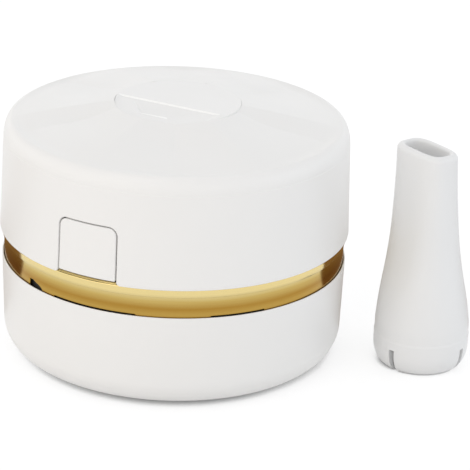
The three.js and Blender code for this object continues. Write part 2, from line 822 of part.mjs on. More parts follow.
// Trim ring: a bevel, a lip and a cove that draws in to a skirt with windows for the air, and a sill that
// shows under the release button.
function trimRing() {
  const cove = arcPoints(
    [trimLipRadius, trimSkirtZ + clearance],
    [trimLipRadius - trimSkirtRadius, trimLipZ - trimSkirtZ - 2 * clearance],
    Math.PI - degree,
    quarterTurn + degree,
    trimCoveSteps,
  );
  const profile = [
    [trimInnerRadius, trimSkirtZ],
    [trimSkirtRadius, trimSkirtZ],
    ...cove,
    [trimLipRadius, trimLipZ],
    [trimBevelRadius, trimTopZ],
    [trimInnerRadius, trimTopZ],
  ];
  const windows = trimWindowShares.map((window) => trimWindow(...window));
  const sillOuter = bodyRadius - sillInset;
  const sillInner = bodyRadius - releaseWall - releaseTravel;
  const sillTop = releaseFootZ - clearance;
  const sillHalfAngle = Math.asin((releaseHalfWidth - clearance) / sillOuter) / degree;
  const sillFoot = (trimLipZ + trimTopZ) / 2;
  const sill = sector(sillInner, sillOuter, releaseAzimuth, sillHalfAngle, sillFoot, sillTop, arcSteps);
  return cut(join(turned(profile, shellSteps), sill), ...windows);
}

// A window with slanting sides, as sectors that step in towards its top.
function trimWindow(azimuth, half, heightShare) {
  const rise = heightShare * (trimLipZ - trimSkirtZ);
  const steps = Array.from({ length: windowSteps }, (_, i) =>
    sector(
      trimInnerRadius - overrun,
      trimLipRadius + overrun,
      azimuth,
      half - (windowSlantAngle * heightShare * i) / windowSteps,
      trimSkirtZ - overrun,
      trimSkirtZ + (rise * (i + 1)) / windowSteps,
      arcSteps,
    ),
  );
  return join(...steps);
}

piece("trim_ring", trimRing(), "gold");

// Motor deck: a plate that closes the housing's foot, with the motor's collar, the stop of the release spring
// and the posts of the charging board.
const chargeBoardMiddle = [0, (chargeBoardNearY + chargeBoardFarY) / 2];

function motorDeck() {
  const collarInner = motorRadius + clearance;
  const high = deckTopZ + overrun;
  const low = deckZ - overrun;
  const stopOuter = springInnerEnd - clearance;
  const half = tabHalfWidth + clearance;
  const holes = [...deckScrewPlaces, ...guardPostPlaces].map((place) =>
    postAt(place, holeRadius, low, high, screwSteps),
  );
  const middleZ = deckTopZ - deckThickness / 2;
  const posts = [-chargePostOffset, chargePostOffset].map((x) =>
    postAt([x, chargeBoardMiddle[1]], chargePostRadius, middleZ, chargeBoardZ - clearance, smallSteps),
  );
  const stopInner = stopOuter - springStopThickness;
  const collarTop = deckTopZ + motorCollarHeight;
  const body = join(
    disc(deckRadius, deckZ, deckTopZ, shellSteps),
    ringBetween(collarInner, collarInner + motorCollarWall, middleZ, collarTop, innerSteps),
    spoke(releaseAzimuth, stopInner, stopOuter, springStopHalfWidth, middleZ, latchTopZ),
    ...posts,
  );
  const slot = spoke(releaseAzimuth, slotInner, slotOuter, half, low, high);
  const releaseBack = Math.sqrt((housingTopRadius - releaseWall) ** 2 - releaseHalfWidth ** 2);
  const notchHalf = releaseHalfWidth + clearance;
  const notchInner = releaseBack - releaseTravel - clearance;
  const notch = spoke(releaseAzimuth, notchInner, bodyRadius, notchHalf, low, high);
  return cut(body, disc(bushHole, low, high, smallSteps), slot, notch, ...holes);
}

piece("motor_deck", motorDeck(), "inner");

// Motor: can, bush, end cap and magnets stay still; the shaft, armature and impeller turn.
function motorCan() {
  const body = disc(motorRadius, motorZ, motorTopZ, innerSteps);
  const bore = disc(motorRadius - motorWall, motorZ + motorFloor, motorTopZ + overrun, innerSteps);
  return cut(body, bore, disc(bushHole, motorZ - overrun, motorZ + motorFloor + overrun, smallSteps));
}

function endCap() {
  const plugRadius = motorRadius - motorWall - clearance;
  const plate = disc(motorRadius, endCapZ, endCapZ + endCapHeight, innerSteps);
  return join(plate, disc(plugRadius, endCapZ - endCapPlug, endCapZ + endCapHeight / 2, innerSteps));
}

function armature() {
  const slots = Array.from({ length: armatureSlots }, (_, i) =>
    spoke(
      (360 * i) / armatureSlots,
      armatureRadius - armatureSlotDepth,
      armatureRadius + overrun,
      armatureSlotWidth / 2,
      armatureZ - overrun,
      armatureZ + armatureLength + overrun,
    ),
  );
  const core = ringBetween(shaftHole, armatureRadius, armatureZ, armatureZ + armatureLength, smallSteps);
  return cut(core, ...slots);
}

function impeller() {
  const discZ = impellerTopZ - impellerDiscThickness;
  const bladeTopZ = discZ + impellerDiscThickness / 2;
  const blades = Array.from({ length: bladeCount }, (_, i) =>
    spoke(bladeLeanAngle, 0, bladeLength, bladeThickness / 2, impellerFootZ, bladeTopZ)
      .translate([bladeInnerRadius, 0, 0])
      .rotate([0, 0, (360 * i) / bladeCount]),
  );
  const rim = disc(impellerRadius, discZ, impellerTopZ, innerSteps);
  const hub = disc(impellerHubRadius, impellerFootZ, impellerTopZ, smallSteps);
  const whole = join(rim, hub, ...blades);
  return cut(whole, disc(shaftHole, impellerFootZ - overrun, impellerTopZ + overrun, smallSteps));
}

piece("motor_can", motorCan(), "steel");
const bush = ringBetween(shaftHole, bushOuterRadius, bushZ, bushZ + bushLength, smallSteps);
piece("motor_bush", bush, "brass");
piece("motor_end_cap", endCap(), "dark");
[0, 180].forEach((azimuth, i) => {
  const magnet = sector(
    magnetOuter - magnetThickness,
    magnetOuter,
    azimuth,
    magnetHalfAngle,
    armatureZ,
    armatureZ + armatureLength,
    arcSteps,
  );
  piece(`motor_magnet_${i + 1}`, magnet, "magnet");
});
piece("motor_armature", armature(), "steel");
piece("motor_shaft", disc(shaftRadius, impellerFootZ, shaftTopZ, smallSteps), "steel");
piece("impeller", impeller(), "inner");

// Fan guard: the plate between the filter and the impeller, with its eye, its posts and the filter's socket.
function fanGuard() {
  const socketInner = filterRadius + clearance;
  const profile = [
    [guardEyeRadius, guardZ],
    [socketInner, guardZ],
    [socketInner, guardZ - filterRimDepth],
    [socketInner + filterRimWall, guardZ - filterRimDepth],
    [socketInner + filterRimWall, guardZ],
    [guardRadius, guardZ],
    [guardRadius, guardTopZ],
    [guardEyeRadius, guardTopZ],
  ];
  const posts = guardPostPlaces.map((place) =>
    postAt(place, guardPostRadius, guardZ + guardThickness / 2, deckZ - clearance, smallSteps),
  );
  const holes = guardPostPlaces.map((place) =>
    postAt(place, holeRadius, deckZ - screwLength, deckZ + overrun, screwSteps),
  );
  const slotHalf = tabHalfWidth + clearance;
  const slots = tabAzimuths.map((azimuth) =>
    spoke(azimuth, slotInner, slotOuter, slotHalf, guardZ - overrun, guardTopZ + overrun),
  );
  return cut(join(turned(profile, innerSteps), ...posts), ...holes, ...slots);
}

piece("fan_guard", fanGuard(), "inner");
placeScrews("guard_screw", guardPostPlaces, deckTopZ + clearance, screwUp);

// Filter: a ring with spokes, a tab to pull it by, and a mesh disc that lies on the ring's ledge.
function filterFrame() {
  const inner = filterRadius - filterBorder;
  const meshSeat = filterZ + filterSpokeHeight;
  const profile = [
    [inner, filterZ],
    [filterRadius, filterZ],
    [filterRadius, filterZ + filterThickness],
    [inner + filterLedge, filterZ + filterThickness],
    [inner + filterLedge, meshSeat],
    [inner, meshSeat],
  ];
  const reach = inner + filterLedge / 2;
  const spokes = [0, 60, 120].map((turn) =>
    spoke(turn, -reach, reach, filterSpokeWidth / 2, filterZ, meshSeat),
  );
  return join(turned(profile, innerSteps), ...spokes, disc(filterTabRadius, filterZ, meshSeat, smallSteps));
}

const meshZ = filterZ + filterSpokeHeight + clearance;
const meshRadius = filterRadius - filterBorder + filterLedge - clearance;
piece("filter_frame", filterFrame(), "inner");
piece("filter_mesh", disc(meshRadius, meshZ, meshZ + meshThickness, innerSteps), "filter");

// Two cells, front and back of the motor, each on its tray, with a link strip across each pair of ends.
[-1, 1].forEach((side) => {
  const name = side < 0 ? "front" : "back";
  const cell = join(
    disc(cellRadius, -cellLength / 2, cellLength / 2, smallSteps),
    disc(cellNubRadius, 0, cellLength / 2 + cellNubHeight, smallSteps),
  );
  const place = [0, side * cellY, cellZ];
  const bed = disc(cellRadius + clearance, -cellLength, cellLength, innerSteps);
  const trayTop = cellZ - cellRadius + trayWrap;
  const tray = block(place, trayLength, trayWidth, deckTopZ + clearance, trayTop);
  piece(`cell_${name}`, cell.rotate([0, 90, 0]).translate(place), "cell");
  piece(`cell_tray_${name}`, cut(tray, bed.rotate([0, 90, 0]).translate(place)), "inner");
});
[-1, 1].forEach((side) => {
  const name = side < 0 ? "left" : "right";
  const endX = cellLength / 2 + (side > 0 ? cellNubHeight : 0) + clearance + linkThickness / 2;
  const reach = 2 * (cellY + linkReach);
  const strip = block([side * endX, 0], linkThickness, reach, cellZ - linkHeight / 2, cellZ + linkHeight / 2);
  piece(`cell_link_${name}`, strip, "steel");
});

// Charging board and socket at the back.
function chargingSocket() {
  const middle = [0, socketFarY - socketDepth / 2];
  const bodyBlock = block(middle, socketWidth, socketDepth, socketZ, socketZ + socketHeight);
  const hollowWidth = socketWidth - 2 * socketWall;
  const hollow = block(
    [0, middle[1] + 2 * socketWall],
    hollowWidth,
    socketDepth,
    socketZ + socketWall,
    socketZ + socketHeight - socketWall,
  );
  const tongueZ = socketZ + (socketHeight - socketTongueHeight) / 2;
  const tongueTopZ = tongueZ + socketTongueHeight;
  const tongueY = socketFarY - socketDepth + socketTongueLength / 2;
  const tongue = block([0, tongueY], socketTongueWidth, socketTongueLength, tongueZ, tongueTopZ);
  return join(cut(bodyBlock, hollow), tongue);
}

const chargeBoardSize = [chargeBoardWidth, chargeBoardFarY - chargeBoardNearY];
piece("charge_board", block(chargeBoardMiddle, ...chargeBoardSize, chargeBoardZ, chargeBoardTopZ), "board");
piece("charging_socket", chargingSocket(), "steel");

// Release button: a curved plate in the housing's window, with two arms and a bar whose nose meets the tab.
function releaseButton() {
  const face = releasePrism(releaseOutline(0), housingInnerTop - overrun, bodyRadius + overrun);
  const skin = [
    [bodyRadius - releaseSink, housingFootZ],
    [housingTopRadius - releaseSink, housingTopZ],
    [housingTopRadius - releaseWall, housingTopZ],
    [bodyRadius - releaseWall, housingFootZ],
  ];
  const plate = turned(skin, shellSteps).intersect(face);
  const armMiddle = tabHalfWidth + clearance + latchArmWidth / 2;
  const armOuter = bodyRadius - releaseWall / 2;
  const across = [-armMiddle, armMiddle];
  const arms = across.map((offset) => {
    const sideways = azimuthPoint(offset, releaseAzimuth + 90);
    const arm = spoke(releaseAzimuth, latchBarInner, armOuter, latchArmWidth / 2, latchZ, latchTopZ);
    return arm.translate([...sideways, 0]);
  });
  const bar = spoke(
    releaseAzimuth,
    latchBarInner,
    latchBarInner + latchBarThickness,
    armMiddle + latchArmWidth / 2,
    latchZ,
    latchTopZ,
  );
  const nose = spoke(releaseAzimuth, latchBarInner, slotInner, tabHalfWidth / 2, latchZ, latchTopZ);
  return join(plate, ...arms, bar, nose);
}

piece("release_button", releaseButton(), "shell");
const releaseSpring = springSolid(releaseSpringRadius, releaseSpringLength).rotate([0, 90, 0]);
const releaseSpringPlaced = releaseSpring.translate([springInnerEnd, 0, latchZ + latchHeight / 2]);
piece("release_spring", releaseSpringPlaced.rotate([0, 0, releaseAzimuth]), "steel");

// Nozzle: a round base that draws in to a flattened mouth. Each ring is a superellipse whose half lengths and
// power go from the base's circle to the mouth's rounded slot.
function flareLeft(z) {
  const up = (z - nozzleBaseTopZ) / (nozzleHeight - nozzleBaseTopZ);
  if (up <= 0) return 1;
  const next = Math.max(1, nozzleFlareShares.findIndex(([share]) => share >= up - weld));
  const [lowShare, lowFlare] = nozzleFlareShares[next - 1];
  const [highShare, highFlare] = nozzleFlareShares[next];
  return lowFlare + ((highFlare - lowFlare) * (up - lowShare)) / (highShare - lowShare);
}

function nozzlePoint(x, y, z) {
  const radius = Math.hypot(x, y);
  const flare = flareLeft(z);
  const inset = nozzleBaseRadius - radius;
  const power = mouthPower + (roundPower - mouthPower) * Math.sqrt(flare);
  const halfLength = nozzleMouthHalfLength + (nozzleBaseRadius - nozzleMouthHalfLength) * flare - inset;
  const halfWidth = nozzleMouthHalfWidth + (nozzleBaseRadius - nozzleMouthHalfWidth) * flare - inset;
  const along = Math.abs(x / radius / halfLength) ** power;
  const across = Math.abs(y / radius / halfWidth) ** power;
  const reach = (along + across) ** (-1 / power);
  return [(x / radius) * reach, (y / radius) * reach];
}

function nozzle() {
  const outer = nozzleBaseRadius;
  const inner = nozzleBaseRadius - nozzleWall;
  const bottomCentre = [outer - nozzleBottomRound, nozzleBottomRise];
  const levels = nozzleFlareShares.map(([share]) => nozzleBaseTopZ + (nozzleHeight - nozzleBaseTopZ) * share);
  const body = levels.slice(0, -1);
  const profile = [
    ...arcPoints(bottomCentre, [nozzleBottomRound, nozzleBottomRise], -quarterTurn, 0, innerFilletSteps),
    [outer, nozzleLedgeZ],
    [outer - nozzleLedge, nozzleLedgeZ + nozzleLedge],
    ...body.map((z) => [outer - nozzleLedge, z]),
    [outer - nozzleLedge, nozzleHeight - nozzleRimRound],
    [outer - nozzleWall / 2, nozzleHeight],
    [inner, nozzleHeight - nozzleRimRound],
    ...body.reverse().map((z) => [inner, z]),
    [inner, 0],
  ];
  const geometry = turnedGeometry(profile, nozzleSteps);
  const place = geometry.getAttribute("position");
  for (let i = 0; i < place.count; i += 1) {
    const [x, y] = nozzlePoint(place.getX(i), place.getY(i), place.getZ(i));
    place.setXY(i, x, y);
  }
  const slots = Array.from({ length: nozzleSlotCount }, (_, i) =>
    spoke(
      nozzleSlotTurn - nozzleTurn + (360 * i) / nozzleSlotCount,
      inner - overrun,
      outer + overrun,
      nozzleSlotWidth / 2,
      -overrun,
      nozzleSlotHeight,
    ),
  );
  return cut(solidOf(geometry), ...slots).rotate([0, 0, nozzleTurn]);
}

const standing = piece("nozzle", nozzle(), "shell");
standing.position.set(nozzleX, nozzleY, 0);

export default group;
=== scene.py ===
"""Desktop mini vacuum cleaner: shells, trim, buttons and nozzle, finished round the fixed frame.

Shapes are arrays in millimetres, measured from the body's upright axis. Their meshes are in metres.
"""
import json
import math

import bmesh
import bpy
import numpy as np
from mathutils import Matrix, Vector


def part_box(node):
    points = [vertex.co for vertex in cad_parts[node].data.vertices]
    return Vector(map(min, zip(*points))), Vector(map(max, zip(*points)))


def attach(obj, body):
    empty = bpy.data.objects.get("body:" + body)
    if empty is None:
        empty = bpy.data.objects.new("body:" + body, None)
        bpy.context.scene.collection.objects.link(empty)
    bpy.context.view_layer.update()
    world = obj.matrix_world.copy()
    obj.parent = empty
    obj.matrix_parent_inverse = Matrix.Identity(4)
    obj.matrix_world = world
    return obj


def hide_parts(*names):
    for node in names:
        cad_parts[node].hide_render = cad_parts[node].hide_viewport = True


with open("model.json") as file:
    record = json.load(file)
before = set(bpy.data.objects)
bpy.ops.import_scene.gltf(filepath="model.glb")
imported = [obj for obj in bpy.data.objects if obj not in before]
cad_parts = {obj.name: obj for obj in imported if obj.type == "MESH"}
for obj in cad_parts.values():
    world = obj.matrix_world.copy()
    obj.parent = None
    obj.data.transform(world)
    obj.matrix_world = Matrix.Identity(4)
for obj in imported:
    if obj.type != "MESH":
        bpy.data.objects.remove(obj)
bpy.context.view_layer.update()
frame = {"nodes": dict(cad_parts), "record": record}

MM = 0.001
QUARTER = math.pi / 2
TURN = 2 * math.pi
TINY = 1e-9
# Rounded numbers are compared with this slack, and heights that differ by less than SAME_HEIGHT count as one.
SLACK = 1e-6
SAME_HEIGHT = 0.01
MERGE_DISTANCE = 1e-6
# Edges that turn by more than these angles are shaded sharp, and bevelled on a sheet that gets a wall.
SHARP_ANGLE = math.radians(35)
BEVEL_ANGLE = math.radians(38)


def corners(node):
    """A CAD node's lowest and highest corner, in millimetres."""
    low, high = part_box(node)
    return np.array(low) / MM, np.array(high) / MM


housing_low, housing_high = corners("upper_housing")
nozzle_low, nozzle_high = corners("nozzle")

# The body, from its axis and the desk
AXIS_X = (housing_low[0] + housing_high[0]) / 2
BODY_RADIUS = (housing_high[0] - housing_low[0]) / 2
CLEARANCE = 0.3
SEAM_SINK = 0.27
MOULDED_EDGE = 0.3

# Dust bin
FOOT_GAP = 0.8
BASE_FILLET = 6.6
BASE_RING_WIDTH = 2.0
BASE_RING_EASE = 0.3
BIN_FOOT_RADIUS = BODY_RADIUS - 0.98
BIN_RIM_RADIUS = BODY_RADIUS - 0.52
BIN_RIM_Z = 24.18
BIN_WALL = 2.0
RIM_ROUND = 0.15
RIM_WALL = 0.36
RIM_DEPTH = 2.4
RIM_SLOPE = 0.3
FLOOR_UNDER_Z = 3.0
FLOOR_TOP_Z = 4.6
FLOOR_FILLET = 3.0
COLLAR_RADIUS = 11.9
COLLAR_WALL = 1.5
COLLAR_TOP_Z = 10.9
COLLAR_ROUND = 0.4
COLLAR_FILLET = 1.2
COLLAR_FOOT_RADIUS = 15.0
COLLAR_FOOT_EASE = 0.2
INLET_ROUND = 0.6
FITTING_EDGE = 0.4
# Guide tabs, one behind the release button and one opposite, each with a shelf that joins it to the wall
TAB_TOPS = (36.0, 30.6)
TAB_FOOT = 12.0
TAB_INNER = 35.6
TAB_OUTER = 37.2
TAB_HALF = 2.2
SHELF_INNER = 36.4
SHELF_TOP = 20.1
SHELF_ROOT = 1.0
# Bosses for the base screws, at azimuths in degrees
BASE_BOSS_AZIMUTHS = (0, 120, 240)
BASE_BOSS_DISTANCE = 20.9
BASE_BOSS_RADIUS = 2.6
BASE_BOSS_FOOT = FLOOR_TOP_Z - 0.8
BASE_BOSS_TOP = FLOOR_TOP_Z + 2.6

# Housing and its release button
HOUSING_FOOT = housing_low[2]
HOUSING_TOP = housing_high[2]
HOUSING_TOP_RADIUS = BODY_RADIUS - 0.75
HOUSING_WALL = 1.9
HOUSING_TOP_ROW = 0.6
RELEASE_AZIMUTH = math.radians(-117.2)
RELEASE_HALF = 7.49
RELEASE_FOOT = 32.05
RELEASE_TOP = 44.75
RELEASE_CORNER = 1.9
RELEASE_WALL = 1.8
RELEASE_SINK = 0.1
RELEASE_RADIUS = 41.7
DOORWAY_CORNER = 0.9
# Grid lines past a window's edge, and the housing's rows
DOORWAY_BEYOND = (0.7, 1.5, 2.6)
SOCKET_BEYOND = (0.7, 1.5)
WALL_ROW = 1.5
PLATE_ROW = 1.0

# Charging socket's hole at the back
SOCKET_AZIMUTH = QUARTER
SOCKET_HALF = 4.1
SOCKET_LOW = 37.5
SOCKET_HIGH = 40.8

# Screw bosses inside the housing, at azimuths in degrees, each with a web to the wall
BOSS_AZIMUTHS = (0, 118, 180, -62)
BOSS_DISTANCE = 34.6
BOSS_RADIUS = 2.6
BOSS_FOOT = 33.3
BOSS_TOP = 45.3
WEB_INNER = 36.5
WEB_OUTER = BODY_RADIUS - 2.4
WEB_HALF = 1.3

# Release latch: two arms, a bar and a nose
LATCH_INNER = 32.7
LATCH_LOW = 33.4
LATCH_HIGH = 35.2
LATCH_EDGE = 0.2
ARM_OUTER = BODY_RADIUS - 1.0
ARM_HALF = 0.7
ARM_SHIFT = 3.2
BAR_THICK = 1.5
BAR_HALF = 3.9
NOSE_OUTER = 35.3
NOSE_HALF = 1.1

# Cover
TOP_Z = corners("top_cover")[1][2]
COVER_FOOT = HOUSING_TOP - SEAM_SINK
COVER_RADIUS = HOUSING_TOP_RADIUS - 0.05
COVER_FOOT_EASE = 0.25
BAND_TOP_RADIUS = COVER_RADIUS - 2.325
BAND_TOP_Z = 57.98
COVER_WALL = 2.0
EDGE_ROUND = 0.15
LIP_OUTER = HOUSING_TOP_RADIUS - HOUSING_WALL - CLEARANCE
LIP_WALL = 1.3
LIP_DEPTH = 3.2
HOLE_RADIUS = 15.13
DOME_CROWN = 0.25
# How deep the folds are at each radius: they end in a small step at the band.
FOLD_STEP_RADIUS = 37.9
FOLD_RADII = np.array([HOLE_RADIUS, 17, 20, 24, 29, 34, FOLD_STEP_RADIUS, BAND_TOP_RADIUS])
FOLD_DEPTHS = np.array([0.35, 0.62, 1.1, 1.38, 1.15, 0.76, 0.45, 0])
# Angles from the back at which valleys and ridges take turns, the first and the last a valley
FOLD_TURNS = np.radians([0, 25, 50, 95, 110, 150, 180])
COVER_POST_AZIMUTHS = (90, 210, 330)
COVER_POST_DISTANCE = 22.0
COVER_POST_RADIUS = 2.4
COVER_POST_FOOT = 54.7
COVER_POST_TOP = 59.4

# Power button
BUTTON_RADIUS = 15.1
BUTTON_EDGE = 0.2
BUTTON_FIRST_RING = 0.12
BUTTON_UNDER = TOP_Z - 2.8
BUTTON_POST_RADIUS = 2.5
BUTTON_POST_FOOT = corners("power_button")[0][2]
BUTTON_POST_TOP = BUTTON_UNDER + 0.8
CHORD_AZIMUTH = math.radians(-116.8)
CHORD_DISTANCE = 2.9
SCOOP_DROP = 0.6
RIDGE_DROP = 0.35
RIDGE_WIDTH = 0.45
RIDGE_ENDS = (-14.4, 12.8)
RIDGE_FADE = 1.5
BEAD_HEIGHT = 0.1
BEAD_HALF = 0.3
BEAD_FADE = 1.0
DISH_DEPTH = 0.4
DISH_WALL = 0.4
DISH_REACH = 6.0
# The dish's corners, across and ahead of the chord's middle; the last side is its shallow back.
DISH_OUTLINE = np.array([(-10.75, 3.7), (-4.15, 10.5), (2.9, 10.1), (9.4, 4.1)])
# Painted highlights on the power button, bands of paler colour along its ridge and its dish's bead: distance
# ahead of its middle, half width and two ends
RIDGE_HIGHLIGHT_HALF = 0.2
RIDGE_HIGHLIGHT = (CHORD_DISTANCE + RIDGE_WIDTH / 2, RIDGE_HIGHLIGHT_HALF, *RIDGE_ENDS)
DISH_HIGHLIGHT = (DISH_OUTLINE[1:3, 1].mean() + BEAD_HALF, BEAD_HALF, *DISH_OUTLINE[1:3, 0])

# Trim ring
TRIM_TOP_Z = HOUSING_FOOT + SEAM_SINK
TRIM_BEVEL_RADIUS = BODY_RADIUS - 0.15
TRIM_BEVEL_ROUND = 0.3
TRIM_LIP_RADIUS = BODY_RADIUS - 0.73
TRIM_LIP_Z = HOUSING_FOOT - 2.09
TRIM_LIP_ROUND = 0.22
TRIM_SKIRT_RADIUS = 41.0
TRIM_SKIRT_Z = 23.0
COVE_FOOT_Z = TRIM_SKIRT_Z + 0.3
TRIM_WALL = 0.5
TRIM_COLUMN = 0.5
SILL_HALF = 7.7
SILL_INNER = 38.9
SILL_OUTER = 41.55
SILL_LOW = 29.9
SILL_TOP = 31.75
SILL_EASE = 0.2
# Windows in the trim's skirt: first and last azimuth in degrees, and height as a share of the skirt's.
TRIM_WINDOWS = [
    (-130.5, -100.5, 0.23),
    (-76, -57.5, 0.23),
    (30, 54, 0.72),
    (66, 114, 0.72),
    (126, 150, 0.72),
]
# The arched window, then shares of that height and of its width, and the degrees over which its bend fades
ARCH = (-143.2, -136.3, 0.45)
ARCH_SPRING = 0.17
ARCH_FLAT = 0.35
ARCH_FADE = 5.5
# A dark band behind the trim's windows that stands in for the shade inside them
SHADE_BAND_RADIUS = 40.0
SHADE_BAND_THICK = 0.4
SHADE_BAND_FOOT_Z = TRIM_SKIRT_Z - 0.4

# Nozzle
NOZZLE_X = (nozzle_low[0] + nozzle_high[0]) / 2 + 0.3
NOZZLE_Y = (nozzle_low[1] + nozzle_high[1]) / 2
NOZZLE_BASE = (nozzle_high[0] - nozzle_low[0]) / 2 - 0.1
NOZZLE_HEIGHT = nozzle_high[2]
NOZZLE_WALL = 1.7
NOZZLE_MOUTH = (8.0, 4.7)
NOZZLE_LEAN = 1.4
# How far the rim draws in or out over its rounding, and how far it rises
NOZZLE_RIM_OUTSIDE = (1.1, 1.3)
NOZZLE_RIM_INSIDE = (-0.6, 0.8)
NOZZLE_TURN = math.radians(-52)
NOZZLE_BASE_TOP = 11.0
NOZZLE_LEDGE_Z = 8.1
NOZZLE_LEDGE = 0.12
NOZZLE_LEDGE_ROW = 0.3
NOZZLE_ROW = 0.8
NOZZLE_FOOT_INSET = 3.2
NOZZLE_FOOT_RISE = 5.5
NOZZLE_FOOT_EDGE = 0.9
NOZZLE_SLOT_HALF = 0.75
NOZZLE_SLOT_HEIGHT = 6.1
NOZZLE_SLOT_AZIMUTHS = np.radians([-34, 56, 147, 229])
# The superellipse's power at the base, a circle, and at the mouth
NOZZLE_POWERS = (2.0, 3.6)
# How much of the base's flare is left at each share of the way up to the mouth.
NOZZLE_FLARE_SHARES = np.array(
    [(0, 1), (0.1, 0.87), (0.2, 0.7), (0.31, 0.5), (0.465, 0.29), (0.66, 0.14), (0.86, 0.04), (1, 0)]
)


# Shapes: points on a grid, with quads between them
def grid(points, wrap_u=False, wrap_v=False, keep=None):
    """Quads between neighbours of a (u, v, 3) grid of points; keep says which cells stay."""
    count_u, count_v = points.shape[:2]
    along = np.arange(count_u if wrap_u else count_u - 1)
    across = np.arange(count_v if wrap_v else count_v - 1)
    i, j = np.meshgrid(along, across, indexing="ij")
    i_next = (i + 1) % count_u
    j_next = (j + 1) % count_v
    quads = np.stack(
        [i * count_v + j, i_next * count_v + j, i_next * count_v + j_next, i * count_v + j_next], axis=-1
    )
    quads = quads[keep] if keep is not None else quads.reshape(-1, 4)
    return points.reshape(-1, 3), quads


def merged(shapes):
    """Several shapes as one list of points and one of quads."""
    offsets = np.cumsum([0] + [len(points) for points, _ in shapes])
    points = np.concatenate([points for points, _ in shapes])
    quads = np.concatenate([quads + offset for (_, quads), offset in zip(shapes, offsets)])
    return points, quads


def piece(name, shapes, body, slot, nodes=(), closed=True):
    """A mesh object from shapes in millimetres round the body's axis, which rides on a body. A sheet that
    isn't closed yet keeps its own winding, which faces outwards."""
    points, quads = merged(shapes)
    used = np.unique(quads)
    place = np.full(len(points), -1)
    place[used] = np.arange(len(used))
    points = (points[used] + (AXIS_X, 0, 0)) * MM
    quads = place[quads]
    mesh = bpy.data.meshes.new(name)
    mesh.vertices.add(len(points))
    mesh.vertices.foreach_set("co", points.astype(np.float32).ravel())
    mesh.loops.add(quads.size)
    mesh.loops.foreach_set("vertex_index", quads.astype(np.int32).ravel())
    mesh.polygons.add(len(quads))
    mesh.polygons.foreach_set("loop_start", np.arange(0, quads.size, 4, dtype=np.int32))
    mesh.update(calc_edges=True)
    shell = bmesh.new()
    shell.from_mesh(mesh)
    bmesh.ops.remove_doubles(shell, verts=shell.verts, dist=MERGE_DISTANCE)
    if closed:
        bmesh.ops.recalc_face_normals(shell, faces=shell.faces)
    shell.to_mesh(mesh)
    shell.free()
    mesh.shade_smooth()
    mesh.set_sharp_from_angle(angle=SHARP_ANGLE)
    made = bpy.data.objects.new(name, mesh)
    bpy.context.scene.collection.objects.link(made)
    made.data.materials.append(finishes[slot])
    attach(made, body)
    if nodes:
        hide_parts(*nodes)
    return made


def thicken(made, wall, edge=0.0):
    """Gives a sheet its wall on the inner side. Where an edge is given, sharp edges are rounded to it."""
    solid = made.modifiers.new("wall", "SOLIDIFY")
    solid.thickness = wall * MM
    solid.offset = -1
    solid.use_even_offset = True
    if edge:
        rounding = made.modifiers.new("edges", "BEVEL")
        rounding.width = edge * MM
        rounding.segments = 3
        rounding.limit_method = "ANGLE"
        rounding.angle_limit = BEVEL_ANGLE
        rounding.use_clamp_overlap = False
        rounding.harden_normals = True


def walled(outer, inner, keep):
    """Two sheets over one grid that meet in their last row, joined along the kept cells' other edges."""
    count_u, count_v = outer.shape[:2]
    offset = count_u * count_v
    outside = grid(outer, wrap_u=True, keep=keep)[1]
    inside = grid(inner, wrap_u=True, keep=keep)[1] + offset
    i, j = np.nonzero(keep != np.roll(keep, 1, axis=0))
    start = i * count_v + j
    upright = np.stack([start, start + 1, offset + start + 1, offset + start], axis=-1)
    padded = np.pad(keep, ((0, 0), (1, 0)))
    i, j = np.nonzero(padded[:, 1:] != padded[:, :-1])
    start = i * count_v + j
    end = (i + 1) % count_u * count_v + j
    level = np.stack([start, end, offset + end, offset + start], axis=-1)
    points = np.concatenate([outer.reshape(-1, 3), inner.reshape(-1, 3)])
    return points, np.concatenate([outside, inside, upright, level])


def full_turn(steps):
    """A column of even angles once round the axis."""
    return np.linspace(0, TURN, steps, endpoint=False)[:, None]


def around(turn, radius, height):
    """Points (r cos t, r sin t, z) round the axis, from a column or a whole table of angles t."""
    x = radius * np.cos(turn)
    return np.stack([x, radius * np.sin(turn), np.broadcast_to(height, x.shape)], axis=-1)


def carried(outline, start, end, steps):
    """A closed outline of radius and height carried round the axis from one azimuth to another. Its ends are
    closed to their middle."""
    radius, height = np.array(outline, float).T
    points = around(np.linspace(start, end, steps + 1)[:, None], radius, height)
    middle = points.mean(axis=1, keepdims=True)
    first = np.repeat(middle[:1], len(radius), axis=1)
    last = np.repeat(middle[-1:], len(radius), axis=1)
    return grid(np.concatenate([first, points, last]), wrap_v=True)


def arc(centre, reach, start, end, steps):
    """Points as radius and height on an arc from one angle to another: (x + a cos t, z + b sin t), where
    reach is the circle's radius or the pair a, b."""
    turn = np.linspace(start, end, steps + 1)[:, None]
    return np.array(centre) + np.array(reach) * np.hstack([np.cos(turn), np.sin(turn)])


def backed(profile, gap=0.25):
    """The outline with a point near both ends of each long straight, so that its shading stays flat."""
    points = [profile[0]]
    for low, high in zip(profile[:-1], profile[1:]):
        length = np.hypot(*(high - low))
        if length > 4 * gap:
            points += [low + (high - low) * gap / length, high - (high - low) * gap / length]
        points.append(high)
    return np.array(points)


def lathe(profile, steps=256):
    """A closed profile of radius and height turned about the axis: (r cos t, r sin t, z)."""
    outline = backed(np.vstack([profile, profile[:1]]))[:-1]
    return grid(around(full_turn(steps), *outline.T), wrap_u=True, wrap_v=True)


def post(place, radius, low, high, edge=MOULDED_EDGE, steps=32):
    """A round post with eased ends: half its outline, turned about its own upright axis at a place."""
    profile = np.vstack(
        [
            [(0, low)],
            arc((radius - edge, low + edge), edge, -QUARTER, 0, 3),
            arc((radius - edge, high - edge), edge, 0, QUARTER, 3),
            [(0, high)],
        ]
    )
    return grid(around(full_turn(steps), *backed(profile).T) + (*place, 0), wrap_u=True)


def posts(azimuths, distance, *sizes):
    """Alike posts at a distance from the axis."""
    return [post(round_place(distance, azimuth), *sizes) for azimuth in azimuths]


